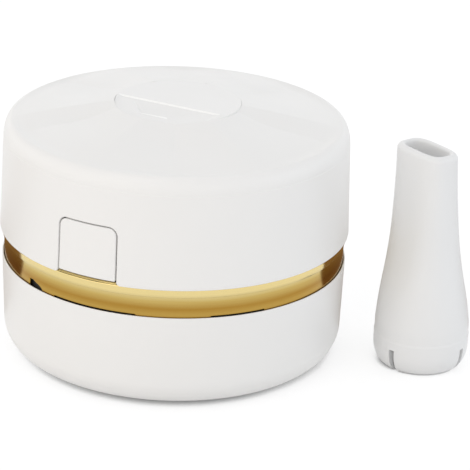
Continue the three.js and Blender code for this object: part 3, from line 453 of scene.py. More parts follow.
def slab(azimuth, inner, outer, half, low, high, edge, shift=0.0):
    """A box between two radii on an azimuth, its twelve edges eased: a cube's grid with each point pulled
    to the box's inner core and pushed out again by the edge's radius."""
    flat = 0.6
    between = (flat + 1) / 2
    steps = np.array([-1, -between, -flat, flat, between, 1])
    u, v = np.meshgrid(steps, steps, indexing="ij")
    one = np.ones_like(u)
    sides = [(u, v, one), (v, u, -one), (one, u, v), (-one, v, u), (v, one, u), (u, -one, v)]
    size = np.array([(outer - inner) / 2, half, (high - low) / 2])
    middle = np.array([(inner + outer) / 2, shift, (low + high) / 2])
    shapes = []
    for side in sides:
        cube = np.stack(side, axis=-1)
        core = np.sign(cube) * (size - edge)
        away = np.sign(cube) * np.maximum((np.abs(cube) - flat) / (1 - flat), 0)
        length = np.linalg.norm(away, axis=-1, keepdims=True)
        point = core + edge * away / np.maximum(length, TINY) + middle
        shapes.append(grid(turned(point, azimuth)))
    return merged(shapes)


def turned(points, angle):
    """Points turned about the upright axis."""
    x, y, z = np.moveaxis(points, -1, 0)
    cos, sin = math.cos(angle), math.sin(angle)
    return np.stack([x * cos - y * sin, x * sin + y * cos, z], axis=-1)


def round_place(radius, azimuth):
    """The place at a radius and an azimuth in degrees."""
    return radius * math.cos(math.radians(azimuth)), radius * math.sin(math.radians(azimuth))


def wrapped(angle):
    """The same angle between minus half a turn and half a turn."""
    return (angle + math.pi) % TURN - math.pi


def lines(special, filler, apart):
    """Sorted grid lines: all special ones, and the fillers that stay well clear of them."""
    special = np.unique(np.round(special, 5))
    near = np.abs(np.asarray(filler)[:, None] - special[None, :]).min(axis=1)
    return np.unique(np.concatenate([special, np.asarray(filler)[near > apart]]))


def middles(values, whole=None):
    """The middles between neighbours. Given a whole turn, the last one's neighbour is the first."""
    following = values[1:] if whole is None else np.append(values[1:], values[0] + whole)
    return (values[: len(following)] + following) / 2


def corner_shares(count):
    """Shares of a rounded corner's radius for grid lines that meet its arc evenly: 1 - tan t, from its
    start to its middle."""
    return 1 - np.tan(np.linspace(0, QUARTER / 2, count))


def corner_lines(edge, corner, beyond=DOORWAY_BEYOND):
    """Grid lines for a rounded corner of a window: at its edge, round its arc, and a few beyond it."""
    return np.concatenate([edge - corner * corner_shares(7), edge + np.array(beyond)])


def ease_corner(a, b):
    """Scale that turns a square corner round: m / e at square distance m and true distance e, fading
    between one and two radii out."""
    square = np.maximum(a, b)
    true = np.maximum(np.hypot(a, b), TINY)
    weight = np.clip(2 - square, 0, 1)
    return np.where((a > 0) & (b > 0), 1 + (square / true - 1) * weight, 1.0)


def rounded_window(s, z, middle, half, height, corner):
    """Moves grid points at one end of a window so that both square corners there become round. Height and
    corner give the end's place and radius; a negative corner is the lower end."""
    facing = math.copysign(1, corner)
    radius = abs(corner)
    a = (np.abs(s - middle) - (half - radius)) / radius
    b = (z * facing - (height * facing - radius)) / radius
    scale = ease_corner(a, b)
    s_new = middle + np.sign(s - middle) * (half - radius + a * radius * scale)
    z_new = (height * facing - radius + b * radius * scale) * facing
    moved = (a > 0) & (b > 0)
    return np.where(moved, s_new, s), np.where(moved, z_new, z)


# Finishes
class Wire:
    """A shader value: arithmetic on it adds Math nodes, and plain numbers may stand on either side."""

    def __init__(self, graph, socket):
        self.graph = graph
        self.socket = socket

    def math(self, operation, first, second):
        return self.graph.node("ShaderNodeMath", {"operation": operation}, {0: first, 1: second})["Value"]

    def __add__(self, other):
        return self.math("ADD", self, other)

    def __radd__(self, other):
        return self.math("ADD", other, self)

    def __sub__(self, other):
        return self.math("SUBTRACT", self, other)

    def __rsub__(self, other):
        return self.math("SUBTRACT", other, self)

    def __mul__(self, other):
        return self.math("MULTIPLY", self, other)

    def __rmul__(self, other):
        return self.math("MULTIPLY", other, self)


class Graph:
    """A node tree, with one method that adds any node and short ones for the nodes used most."""

    def __init__(self, tree):
        self.tree = tree
        self.place = self.node("ShaderNodeTexCoord")["Object"]

    def feed(self, socket, value):
        """Sets a socket to a number or colour, or links a wire to it."""
        if isinstance(value, Wire):
            self.tree.links.new(value.socket, socket)
        else:
            socket.default_value = value

    def node(self, kind, settings=(), values=()):
        """Adds any node: its settings, such as ramp stops, then its sockets; gives its outputs by name."""
        added = self.tree.nodes.new(kind)
        for key, value in dict(settings).items():
            if key == "stops":
                ramp = added.color_ramp.elements
                for stop, (position, colour) in enumerate(value):
                    element = ramp[stop] if stop < 2 else ramp.new(position)
                    element.position = position
                    element.color = colour
            else:
                setattr(added, key, value)
        for key, value in dict(values).items():
            named = {socket.identifier: socket for socket in added.inputs}
            self.feed(added.inputs[key] if key not in named else named[key], value)
        return {key: Wire(self, s) for s in reversed(added.outputs) for key in (s.name, s.identifier)}

    def noise(self, scale, detail=2.0, roughness=0.5, place=None):
        """Noise from 0 to 1 with about scale features a metre."""
        values = {"Scale": scale, "Detail": detail, "Roughness": roughness, "Vector": place or self.place}
        return self.node("ShaderNodeTexNoise", (), values)["Fac"]

    def hairlines(self, features, detail):
        """Noise from 0 to 1 drawn out into lines, by its features a metre along each axis."""
        values = {0: self.place, 1: features}
        stretched = self.node("ShaderNodeVectorMath", {"operation": "MULTIPLY"}, values)["Vector"]
        return self.noise(scale=1.0, detail=detail, place=stretched)

    def split(self, vector):
        """A vector's X, Y and Z."""
        return self.node("ShaderNodeSeparateXYZ", (), {"Vector": vector})

    def blend(self, factor, first, second):
        """A colour between two."""
        values = {"Factor_Float": factor, "A_Color": first, "B_Color": second}
        return self.node("ShaderNodeMix", {"data_type": "RGBA"}, values)["Result_Color"]

    def band(self, value, low, high):
        """0 below low, 1 above high and even between."""
        values = {"Value": value, "From Min": low, "From Max": high}
        return self.node("ShaderNodeMapRange", (), values)["Result"]

    def within(self, value, middle, half):
        """1 where a value lies within half of the middle, else 0."""
        return self.node("ShaderNodeMath", {"operation": "COMPARE"}, {0: value, 1: middle, 2: half})["Value"]

    def bump(self, height, depth):
        """A normal from a height in millimetres of depth."""
        return self.node("ShaderNodeBump", (), {"Height": height, "Distance": depth * MM})["Normal"]


class Finish(Graph):
    """A material's node tree round its one shader."""

    def __init__(self, name):
        self.material = bpy.data.materials.new(name)
        self.material.use_nodes = True
        super().__init__(self.material.node_tree)
        self.shader = self.tree.nodes["Principled BSDF"]

    def set(self, **values):
        """Feeds the shader's sockets, named with underscores for blanks."""
        for key, value in values.items():
            self.feed(self.shader.inputs[key.replace("_", " ")], value)


def shade(colour, factor, lift=0.0):
    """A colour lifted by an amount and then made darker or lighter, at full alpha."""
    return tuple(min(1.0, (channel + lift) * factor) for channel in colour[:3]) + (1.0,)


def moulding(name, colour, roughness, grain=0.006, highlight_strips=()):
    """Moulded plastic: an even colour with the slightest clouding, a fine spark grain and rubbed patches.
    Bands of painted highlight may cross the power button, each by its place ahead, half width and two ends."""
    graph = Finish(name)
    cloud = graph.noise(scale=38.0, detail=3.0)
    rubbed = graph.band(graph.noise(scale=120.0, detail=4.0, roughness=0.6), low=0.45, high=0.75)
    fine = graph.noise(scale=5200.0)
    tone = graph.blend(cloud, shade(colour, 0.985), shade(colour, 1.01))
    # Painted highlights: paler colour in bands along the button's ridge and bead, where light catches the
    # edges
    for strip in highlight_strips:
        tone = graph.blend(painted_highlight_strip(graph, *strip), tone, PAINTED_HIGHLIGHT_WHITE)
    graph.set(
        Base_Color=tone,
        Roughness=roughness - 0.05 * rubbed + 0.04 * (fine - 0.5),
        Normal=graph.bump(fine, depth=grain),
        IOR=1.46,
    )
    return graph.material


def painted_highlight_strip(graph, ahead, half, first, last):
    """1 in a band of painted highlight across the power button at a distance ahead of its middle, square to
    the press, else 0."""
    at = graph.split(graph.place)
    x, y = at["X"] - AXIS_X * MM, at["Y"]
    cos, sin = math.cos(CHORD_AZIMUTH), math.sin(CHORD_AZIMUTH)
    lengthwise = graph.within(x * cos + y * sin, ahead * MM, half * MM)
    return lengthwise * graph.within(y * cos - x * sin, (first + last) / 2 * MM, (last - first) / 2 * MM)


def plated_painted_shade(name, colour, roughness):
    """Plated trim: bright metal, its colour set by height: the plain gold on the bevel, and painted shade
    down the cove below the lip, darkest at its middle. It has a faint clouding, hairlines round the ring and
    a slight waviness."""
    graph = Finish(name)
    cloud = graph.noise(scale=60.0, detail=3.0)
    hairs = graph.hairlines((60, 60, 2400), detail=2.0)
    height = graph.split(graph.place)["Z"] + 0.6 * MM * (hairs - 0.5)
    share = graph.band(height, low=TRIM_SKIRT_Z * MM, high=TRIM_TOP_Z * MM)
    # Painted shade by height: the ramp darkens the gold down the cove, darkest at its middle, a little
    # lighter at its foot
    stops = [
        (0.13, (0.43, 0.26, 0.05, 1)),
        (0.24, (0.47, 0.29, 0.06, 1)),
        (0.38, (0.39, 0.21, 0.03, 1)),
        (0.60, (0.56, 0.40, 0.12, 1)),
        (0.74, (0.68, 0.55, 0.25, 1)),
        (0.82, colour),
    ]
    tone = graph.node("ShaderNodeValToRGB", {"stops": stops}, {"Fac": share})["Color"]
    graph.set(
        Base_Color=graph.blend(0.1 * cloud, tone, shade(colour, 0.7)),
        Metallic=1.0,
        Roughness=roughness + 0.05 * hairs + 0.04 * cloud,
        Normal=graph.bump(graph.noise(scale=260.0, detail=1.0), depth=0.004),
    )
    return graph.material


def machined(name, colour, roughness):
    """Drawn or turned metal: fine hairlines, small dark specks and uneven shine."""
    graph = Finish(name)
    hairs = graph.hairlines((300, 300, 4000), detail=3.0)
    specks = graph.band(graph.noise(scale=1400.0), low=0.66, high=0.8)
    graph.set(
        Base_Color=graph.blend(specks, colour, shade(colour, 0.6)),
        Metallic=1.0,
        Roughness=roughness + 0.16 * hairs,
        Normal=graph.bump(hairs, depth=0.004),
    )
    return graph.material


def rubbery(name, colour):
    """Soft rubber or nylon: dull, with a pitted grain and pale rubbed dust."""
    graph = Finish(name)
    pits = graph.noise(scale=2600.0, detail=3.0, roughness=0.6)
    dust = graph.band(graph.noise(scale=180.0, detail=4.0, roughness=0.6), low=0.5, high=0.85)
    graph.set(
        Base_Color=graph.blend(dust, colour, shade(colour, 1.0, lift=0.05)),
        Roughness=0.72 + 0.2 * pits,
        Normal=graph.bump(pits, depth=0.02),
    )
    return graph.material


def printed_board(name, colour):
    """Circuit board: lacquer over fine copper tracks, as the joints of a brick pattern that noise turns
    on and off."""
    graph = Finish(name)
    values = {"Vector": graph.place, "Scale": 420.0, "Mortar Size": 0.06}
    tracks = graph.node("ShaderNodeTexBrick", (), values)["Fac"]
    cloud = graph.noise(scale=900.0)
    copper = tracks * graph.band(cloud, low=0.42, high=0.5)
    graph.set(
        Base_Color=graph.blend(copper, colour, (0.16, 0.36, 0.2, 1)),
        Roughness=0.35 + 0.2 * cloud,
        Normal=graph.bump(copper, depth=0.03),
    )
    return graph.material


def sleeve(name, colour):
    """Shrink sleeve on a cell: tight film with soft wrinkles and paler worn patches."""
    graph = Finish(name)
    wrinkles = graph.noise(scale=420.0, detail=4.0, roughness=0.6)
    worn = graph.band(graph.noise(scale=90.0, detail=3.0), low=0.5, high=0.8)
    graph.set(
        Base_Color=graph.blend(worn, colour, shade(colour, 1.35)),
        Roughness=0.3 + 0.2 * wrinkles,
        Normal=graph.bump(wrinkles, depth=0.03),
    )
    return graph.material


def threads(graph, direction):
    """Waves from 0 to 1 along one axis, for one set of a cloth's threads."""
    settings = {"wave_type": "BANDS", "bands_direction": direction}
    return graph.node("ShaderNodeTexWave", settings, {"Vector": graph.place, "Scale": 480.0})["Fac"]


def woven(name, colour):
    """Filter cloth: two crossed sets of fine threads."""
    graph = Finish(name)
    crossed = threads(graph, "X") * threads(graph, "Y")
    graph.set(
        Base_Color=graph.blend(crossed, shade(colour, 0.45), colour),
        Roughness=0.85 + 0.1 * crossed,
        Normal=graph.bump(crossed, depth=0.12),
    )
    return graph.material


WHITE = (1, 1, 1, 1)
# Paler colour for the painted highlights on the power button
PAINTED_HIGHLIGHT_WHITE = (0.98, 0.975, 0.96, 1)
NEUTRAL_WHITE = (0.83, 0.83, 0.825, 1)
finishes = {
    "shell": moulding("satin_white", (0.86, 0.852, 0.836, 1), 0.42),
    "button": moulding("satin_button", (0.86, 0.853, 0.84, 1), 0.38, highlight_strips=(RIDGE_HIGHLIGHT, DISH_HIGHLIGHT)),
    "gold": plated_painted_shade("plated_gold", (0.80, 0.65, 0.30, 1), 0.08),
    "inner": moulding("inner_black", (0.03, 0.03, 0.031, 1), 0.5, 0.012),
    "rubber": rubbery("foot_rubber", (0.028, 0.028, 0.03, 1)),
    "bristle": rubbery("nylon", (0.74, 0.73, 0.69, 1)),
    "steel": machined("steel", (0.52, 0.54, 0.56, 1), 0.24),
    "brass": machined("brass", (0.66, 0.46, 0.18, 1), 0.26),
    "magnet": rubbery("ferrite", (0.05, 0.05, 0.052, 1)),
    "board": printed_board("circuit_green", (0.02, 0.14, 0.06, 1)),
    "cell": sleeve("cell_sleeve", (0.07, 0.18, 0.42, 1)),
    "dark": moulding("dark_plastic", (0.022, 0.022, 0.024, 1), 0.45, 0.012),
    "filter": woven("filter_cloth", (0.6, 0.63, 0.65, 1)),
}
for row in frame["record"]["subparts"]:
    node = frame["nodes"][row["node"]]
    node.data.materials.clear()
    node.data.materials.append(finishes[row["material_slot"]])


# Dust bin
def dust_bin():
    """The bin's wall, floor and collar as one turned outline, with two guide tabs and screw bosses."""
    foot = (BIN_FOOT_RADIUS - BASE_FILLET, FOOT_GAP + BASE_FILLET)
    rim_inner = BIN_RIM_RADIUS - RIM_WALL
    rim_z = BIN_RIM_Z - RIM_ROUND
    wall_inner = BIN_RIM_RADIUS - BIN_WALL
    floor_fillet = (BIN_FOOT_RADIUS - BIN_WALL - FLOOR_FILLET, FLOOR_TOP_Z + FLOOR_FILLET)
    collar = COLLAR_RADIUS + COLLAR_WALL
    collar_fillet = (collar + COLLAR_FILLET, FLOOR_TOP_Z + COLLAR_FILLET)
    collar_z = COLLAR_TOP_Z - COLLAR_ROUND
    inlet = (COLLAR_RADIUS + INLET_ROUND, FOOT_GAP + INLET_ROUND)
    ring_inner = BIN_FOOT_RADIUS - BASE_FILLET - BASE_RING_WIDTH
    outline = np.vstack(
        [
            arc(foot, BASE_FILLET, -QUARTER, 0, 24),
            arc((BIN_RIM_RADIUS - RIM_ROUND, rim_z), RIM_ROUND, 0, QUARTER, 5),
            arc((rim_inner + RIM_ROUND, rim_z), RIM_ROUND, QUARTER, 2 * QUARTER, 5),
            [(rim_inner, BIN_RIM_Z - RIM_DEPTH), (wall_inner, BIN_RIM_Z - RIM_DEPTH - RIM_SLOPE)],
            arc(floor_fillet, FLOOR_FILLET, 0, -QUARTER, 10),
            arc(collar_fillet, COLLAR_FILLET, 3 * QUARTER, 2 * QUARTER, 5),
            arc((collar - COLLAR_ROUND, collar_z), COLLAR_ROUND, 0, QUARTER, 4),
            arc((COLLAR_RADIUS + COLLAR_ROUND, collar_z), COLLAR_ROUND, QUARTER, 2 * QUARTER, 4),
            arc(inlet, INLET_ROUND, 2 * QUARTER, 3 * QUARTER, 4),
            [(COLLAR_FOOT_RADIUS - COLLAR_FOOT_EASE, FOOT_GAP)],
            [(COLLAR_FOOT_RADIUS, FOOT_GAP + COLLAR_FOOT_EASE)],
            [(COLLAR_FOOT_RADIUS, FLOOR_UNDER_Z), (ring_inner, FLOOR_UNDER_Z)],
            [(ring_inner, FOOT_GAP + BASE_RING_EASE), (ring_inner + BASE_RING_EASE, FOOT_GAP)],
        ]
    )
    shapes = [lathe(outline, 320)]
    shelf_outer = wall_inner + SHELF_ROOT
    for azimuth, top in zip((RELEASE_AZIMUTH, RELEASE_AZIMUTH + math.pi), TAB_TOPS):
        shapes.append(slab(azimuth, TAB_INNER, TAB_OUTER, TAB_HALF, TAB_FOOT, top, FITTING_EDGE))
        shapes.append(slab(azimuth, SHELF_INNER, shelf_outer, TAB_HALF, TAB_FOOT, SHELF_TOP, FITTING_EDGE))
    sizes = (BASE_BOSS_RADIUS, BASE_BOSS_FOOT, BASE_BOSS_TOP, FITTING_EDGE)
    return shapes + posts(BASE_BOSS_AZIMUTHS, BASE_BOSS_DISTANCE, *sizes)


# Housing
def wall_point(s, z, sink=0.0):
    """Points of the housing's drafted wall, whose radius falls evenly with height z, at arc length s from the
    release azimuth."""
    up = (z - HOUSING_FOOT) / (HOUSING_TOP - HOUSING_FOOT)
    radius = BODY_RADIUS + (HOUSING_TOP_RADIUS - BODY_RADIUS) * up - sink
    return around(RELEASE_AZIMUTH + s / RELEASE_RADIUS, radius, z)


def upper_housing():
    """The drafted wall as a sheet over arc length and height, with a doorway for the release button and a
    round-ended hole for the charging socket: their cells are left out, and nearby lines are bent round
    the corners."""
    half = RELEASE_HALF + CLEARANCE
    top = RELEASE_TOP + CLEARANCE
    corner = RELEASE_CORNER + CLEARANCE
    socket_s = wrapped(SOCKET_AZIMUTH - RELEASE_AZIMUTH) * RELEASE_RADIUS
    socket_z = (SOCKET_LOW + SOCKET_HIGH) / 2
    socket_corner = (SOCKET_HIGH - SOCKET_LOW) / 2
    door = corner_lines(half, corner)
    foot = DOORWAY_CORNER * corner_shares(4)
    socket = corner_lines(SOCKET_HALF, socket_corner, SOCKET_BEYOND)
    special_s = [door, -door, half + foot, -half - foot, socket_s + socket, socket_s - socket]
    filler_s = np.linspace(-math.pi, math.pi, 361)[:-1] * RELEASE_RADIUS
    s_lines = lines(np.concatenate(special_s), filler_s, apart=0.36)
    ends = [HOUSING_FOOT, HOUSING_TOP - HOUSING_TOP_ROW, HOUSING_TOP]
    socket_rise = corner_lines(socket_corner, socket_corner, SOCKET_BEYOND)
    socket_rows = [socket_z + socket_rise, socket_z - socket_rise]
    special_z = [ends, HOUSING_FOOT + foot, corner_lines(top, corner), *socket_rows]
    z_lines = lines(np.concatenate(special_z), np.arange(HOUSING_FOOT, HOUSING_TOP, WALL_ROW), apart=0.45)
    s, z = np.meshgrid(s_lines, z_lines, indexing="ij")
    ms, mz = np.meshgrid(middles(s_lines, TURN * RELEASE_RADIUS), middles(z_lines), indexing="ij")
    in_door = (np.abs(ms) < half) & (mz < top)
    in_socket = (np.abs(ms - socket_s) < SOCKET_HALF) & (mz > SOCKET_LOW) & (mz < SOCKET_HIGH)
    s, z = rounded_window(s, z, 0, half, top, corner)
    s, z = rounded_window(s, z, socket_s, SOCKET_HALF, SOCKET_HIGH, socket_corner)
    s, z = rounded_window(s, z, socket_s, SOCKET_HALF, SOCKET_LOW, -socket_corner)
    a = (half + DOORWAY_CORNER - np.abs(s)) / DOORWAY_CORNER
    b = (HOUSING_FOOT + DOORWAY_CORNER - z) / DOORWAY_CORNER
    scale = np.where((a <= 1 + SLACK) & (b <= 1 + SLACK), ease_corner(a, b), 1)
    moved = (a > 0) & (b > 0) & (a <= 1 + SLACK)
    s = np.where(moved, np.sign(s) * (half + DOORWAY_CORNER * (1 - a * scale)), s)
    z = np.where(moved, HOUSING_FOOT + DOORWAY_CORNER * (1 - b * scale), z)
    return [grid(wall_point(s, z), wrap_u=True, keep=~(in_door | in_socket))]


def housing_bosses():
    """Screw bosses that hang inside the housing, each with a web to the wall."""
    webs = [
        slab(math.radians(azimuth), WEB_INNER, WEB_OUTER, WEB_HALF, BOSS_FOOT, BOSS_TOP, MOULDED_EDGE)
        for azimuth in BOSS_AZIMUTHS
    ]
    return webs + posts(BOSS_AZIMUTHS, BOSS_DISTANCE, BOSS_RADIUS, BOSS_FOOT, BOSS_TOP)


def release_plate():
    """The button's plate as a sheet on the housing's wall, its two upper corners bent round."""
    edge = corner_lines(RELEASE_HALF, RELEASE_CORNER, ())
    columns = np.linspace(-RELEASE_HALF, RELEASE_HALF, 23)
    s_lines = lines(np.concatenate([edge, -edge]), columns, apart=0.5)
    rise = np.append(corner_lines(RELEASE_TOP, RELEASE_CORNER, ()), RELEASE_FOOT)
    z_lines = lines(rise, np.arange(RELEASE_FOOT, RELEASE_TOP, PLATE_ROW), apart=0.6)
    s, z = np.meshgrid(s_lines, z_lines, indexing="ij")
    s, z = rounded_window(s, z, 0, RELEASE_HALF, RELEASE_TOP, RELEASE_CORNER)
    return [grid(wall_point(s, z, RELEASE_SINK))]


def latch_arms():
    """Two arms, a bar and a nose behind the release button, by outer ends, half widths and shifts."""
    parts = [
        (ARM_OUTER, ARM_HALF, -ARM_SHIFT),
        (ARM_OUTER, ARM_HALF, ARM_SHIFT),
        (LATCH_INNER + BAR_THICK, BAR_HALF, 0),
        (NOSE_OUTER, NOSE_HALF, 0),
    ]
    return [
        slab(RELEASE_AZIMUTH, LATCH_INNER, outer, half, LATCH_LOW, LATCH_HIGH, LATCH_EDGE, shift)
        for outer, half, shift in parts
    ]


# Cover and power button
def dome(radius):
    """Height of the cover's unfolded top: a straight fall from the button to the band, plus half a sine."""
    outward = np.clip((radius - HOLE_RADIUS) / (BAND_TOP_RADIUS - HOLE_RADIUS), 0, 1)
    return TOP_Z + (BAND_TOP_Z - TOP_Z) * outward + DOME_CROWN * np.sin(outward * math.pi)


def fold(turn):
    """Share of the fold's depth at an angle: 1 in a valley and 0 on a ridge, straight between."""
    return np.interp(np.abs(wrapped(turn - QUARTER)), FOLD_TURNS, [1, 0, 1, 0, 1, 0, 1])


def top_cover():
    """The cover's closed outline turned about the axis, its top lowered into folds that fade outwards:
    z less the fold's share times its depth."""
    inside = np.linspace(HOLE_RADIUS, FOLD_STEP_RADIUS, 24)
    step = np.linspace(FOLD_STEP_RADIUS, BAND_TOP_RADIUS, 7)
    rings = np.append(inside, step[1:])
    band = (BAND_TOP_RADIUS, COVER_FOOT + EDGE_ROUND)
    band_reach = (COVER_RADIUS - BAND_TOP_RADIUS, BAND_TOP_Z - COVER_FOOT - EDGE_ROUND)
    lip_inner = LIP_OUTER - LIP_WALL
    outline = np.vstack(
        [
            [(lip_inner, COVER_FOOT - LIP_DEPTH), (LIP_OUTER, COVER_FOOT - LIP_DEPTH)],
            [(LIP_OUTER, COVER_FOOT), (COVER_RADIUS - COVER_FOOT_EASE, COVER_FOOT)],
            arc(band, band_reach, 0, QUARTER, 18),
            np.stack([rings, dome(rings)], axis=-1)[-2::-1],
            [(HOLE_RADIUS, TOP_Z - COVER_WALL)],
            [(BAND_TOP_RADIUS, BAND_TOP_Z - COVER_WALL), (lip_inner, BAND_TOP_Z - COVER_WALL)],
        ]
    )
    radius, height = outline.T
    within = np.clip(radius, HOLE_RADIUS, BAND_TOP_RADIUS)
    depth = np.maximum(smooth_curve(within, FOLD_RADII, FOLD_DEPTHS), 0)
    lowered = np.where(height > BAND_TOP_Z + SAME_HEIGHT, depth, 0)
    turn = full_turn(360)
    shell = grid(around(turn, radius, height - fold(turn) * lowered), wrap_u=True, wrap_v=True)
    sizes = (COVER_POST_RADIUS, COVER_POST_FOOT, COVER_POST_TOP)
    return [shell, *posts(COVER_POST_AZIMUTHS, COVER_POST_DISTANCE, *sizes)]


def soft_step(value, width):
    """0 below zero, 1 above width, and eased between: 3 t^2 - 2 t^3."""
    share = np.clip(value / width, 0, 1)
    return share * share * (3 - 2 * share)


def button_top(x, y):
    """Height of the power button: flat behind a chord, a short drop at it, and an even slope in front.
    A four-sided dish in the slope deepens from its back side to its front, where it has a fine bead."""
    cos, sin = math.cos(CHORD_AZIMUTH), math.sin(CHORD_AZIMUTH)
    ahead = x * cos + y * sin
    across = -x * sin + y * cos
    past = ahead - CHORD_DISTANCE
    ends = soft_step(across - RIDGE_ENDS[0], RIDGE_FADE) * soft_step(RIDGE_ENDS[1] - across, RIDGE_FADE)
    ridge = RIDGE_DROP * ends * soft_step(past, RIDGE_WIDTH)
    slope = SCOOP_DROP * np.maximum(past, 0) / (BUTTON_RADIUS - CHORD_DISTANCE)
    sides = []
    for (u0, v0), (u1, v1) in zip(DISH_OUTLINE, np.roll(DISH_OUTLINE, -1, axis=0)):
        length = math.hypot(u1 - u0, v1 - v0)
        sides.append(((across - u0) * (v1 - v0) - (ahead - v0) * (u1 - u0)) / length)
    flank, front, other_flank, back = sides
    walls = np.minimum(np.minimum(flank, front), other_flank)
    reach = soft_step(flank + BEAD_FADE, BEAD_FADE) * soft_step(other_flank + BEAD_FADE, BEAD_FADE)
    bead = BEAD_HEIGHT * reach * np.exp(-(((front + BEAD_HALF) / BEAD_HALF) ** 2))
    dish = DISH_DEPTH * soft_step(walls, DISH_WALL) * np.clip(back / DISH_REACH, 0, 1)
    return TOP_Z - slope - ridge + bead - dish


def power_button():
    """The button's disc: rings out to an eased edge at the top's height, a flat underside and a post."""
    inside = BUTTON_RADIUS - BUTTON_EDGE
    edge = arc((inside, -BUTTON_EDGE), BUTTON_EDGE, QUARTER, 0, 4)[1:]
    rings = np.concatenate([[0], np.linspace(BUTTON_FIRST_RING, inside, 120), edge[:, 0]])
    drop = np.append(np.zeros(len(rings) - len(edge)), edge[:, 1])
    turn = full_turn(600)
    top = around(turn, rings, 0)
    top[..., 2] = button_top(top[..., 0], top[..., 1]) + drop
    under = np.array([(BUTTON_RADIUS, BUTTON_UNDER + BUTTON_EDGE), (inside, BUTTON_UNDER), (0, BUTTON_UNDER)])
    return [
        grid(np.concatenate([top, around(turn, *under.T)], axis=1), wrap_u=True),
        post((0, 0), BUTTON_POST_RADIUS, BUTTON_POST_FOOT, BUTTON_POST_TOP),
    ]


# Trim ring
def arch_width(rise):
    """The arched window's width as a share of its foot's: a quarter ellipse, cut flat near its top, and
    back to the full width above it, where the grid's lines spread again."""
    up = (rise - ARCH_SPRING) / (ARCH[2] - ARCH_SPRING)
    round_part = np.maximum(np.sqrt(np.clip(1 - np.maximum(up, 0) ** 2, 0, 1)), ARCH_FLAT)
    return np.where(up < 1, round_part, np.interp(up, [1, 2], [ARCH_FLAT, 1]))


def trim_ring():
    """The trim as a sheet: an upper flange, the bevel, the lip, and a cove drawn in to the skirt, with
    windows left out of the skirt. One window's last edge follows an arch, and the lines beyond it bend
    with it."""
    lip = (TRIM_LIP_RADIUS - TRIM_LIP_ROUND, TRIM_LIP_Z + TRIM_LIP_ROUND)
    cove_reach = (lip[0] - TRIM_SKIRT_RADIUS, TRIM_LIP_Z - COVE_FOOT_Z)
    bevel = (TRIM_BEVEL_RADIUS - TRIM_BEVEL_ROUND, TRIM_TOP_Z - TRIM_BEVEL_ROUND)
    outline = np.vstack(
        [
            [(TRIM_SKIRT_RADIUS, TRIM_SKIRT_Z)],
            arc((lip[0], COVE_FOOT_Z), cove_reach, 2 * QUARTER, QUARTER, 56),
            arc(lip, TRIM_LIP_ROUND, -QUARTER, 0, 8)[1:],
            arc(bevel, TRIM_BEVEL_ROUND, 0, QUARTER, 5),
            [(TRIM_SKIRT_RADIUS, TRIM_TOP_Z)],
        ]
    )
    radius, height = outline.T
    windows = [*TRIM_WINDOWS, ARCH]
    edges = np.array([window[:2] for window in windows]).ravel() % 360
    azimuth = lines(edges, np.arange(0, 360, TRIM_COLUMN), apart=0.2)
    rise = (height - TRIM_SKIRT_Z) / (TRIM_LIP_Z - TRIM_SKIRT_Z)
    keep = np.ones((len(azimuth), len(height) - 1), bool)
    for first, last, share in windows:
        inside = (middles(azimuth, 360) - first) % 360 < last - first
        keep &= ~(inside[:, None] & (middles(rise) < share))
    past_first = (azimuth - ARCH[0]) % 360
    span = ARCH[1] - ARCH[0]
    fading = span * np.clip(1 - (past_first - span) / ARCH_FADE, 0, 1)
    follow = np.where(past_first < span, past_first, fading)
    turn = np.radians(azimuth[:, None] - follow[:, None] * (1 - arch_width(rise)))
    return [grid(around(turn, radius, height), wrap_u=True, keep=keep)]


def waist_seal():
    """A dark band just behind the trim's windows, put there to stand in for the shade inside them."""
    inner = SHADE_BAND_RADIUS - SHADE_BAND_THICK
    feet = [(inner, SHADE_BAND_FOOT_Z), (SHADE_BAND_RADIUS, SHADE_BAND_FOOT_Z)]
    return [lathe([*feet, (SHADE_BAND_RADIUS, TRIM_LIP_Z), (inner, TRIM_LIP_Z)])]


def trim_sill():
    """The ledge of the trim that stands up behind the doorway's foot, below the release button."""
    half = SILL_HALF / RELEASE_RADIUS
    outline = [
        (SILL_INNER, SILL_LOW),
        (SILL_OUTER, SILL_LOW),
        (SILL_OUTER, SILL_TOP - SILL_EASE),
        (SILL_OUTER - SILL_EASE, SILL_TOP),
        (SILL_INNER, SILL_TOP),
    ]
    return [carried(outline, RELEASE_AZIMUTH - half, RELEASE_AZIMUTH + half, 24)]


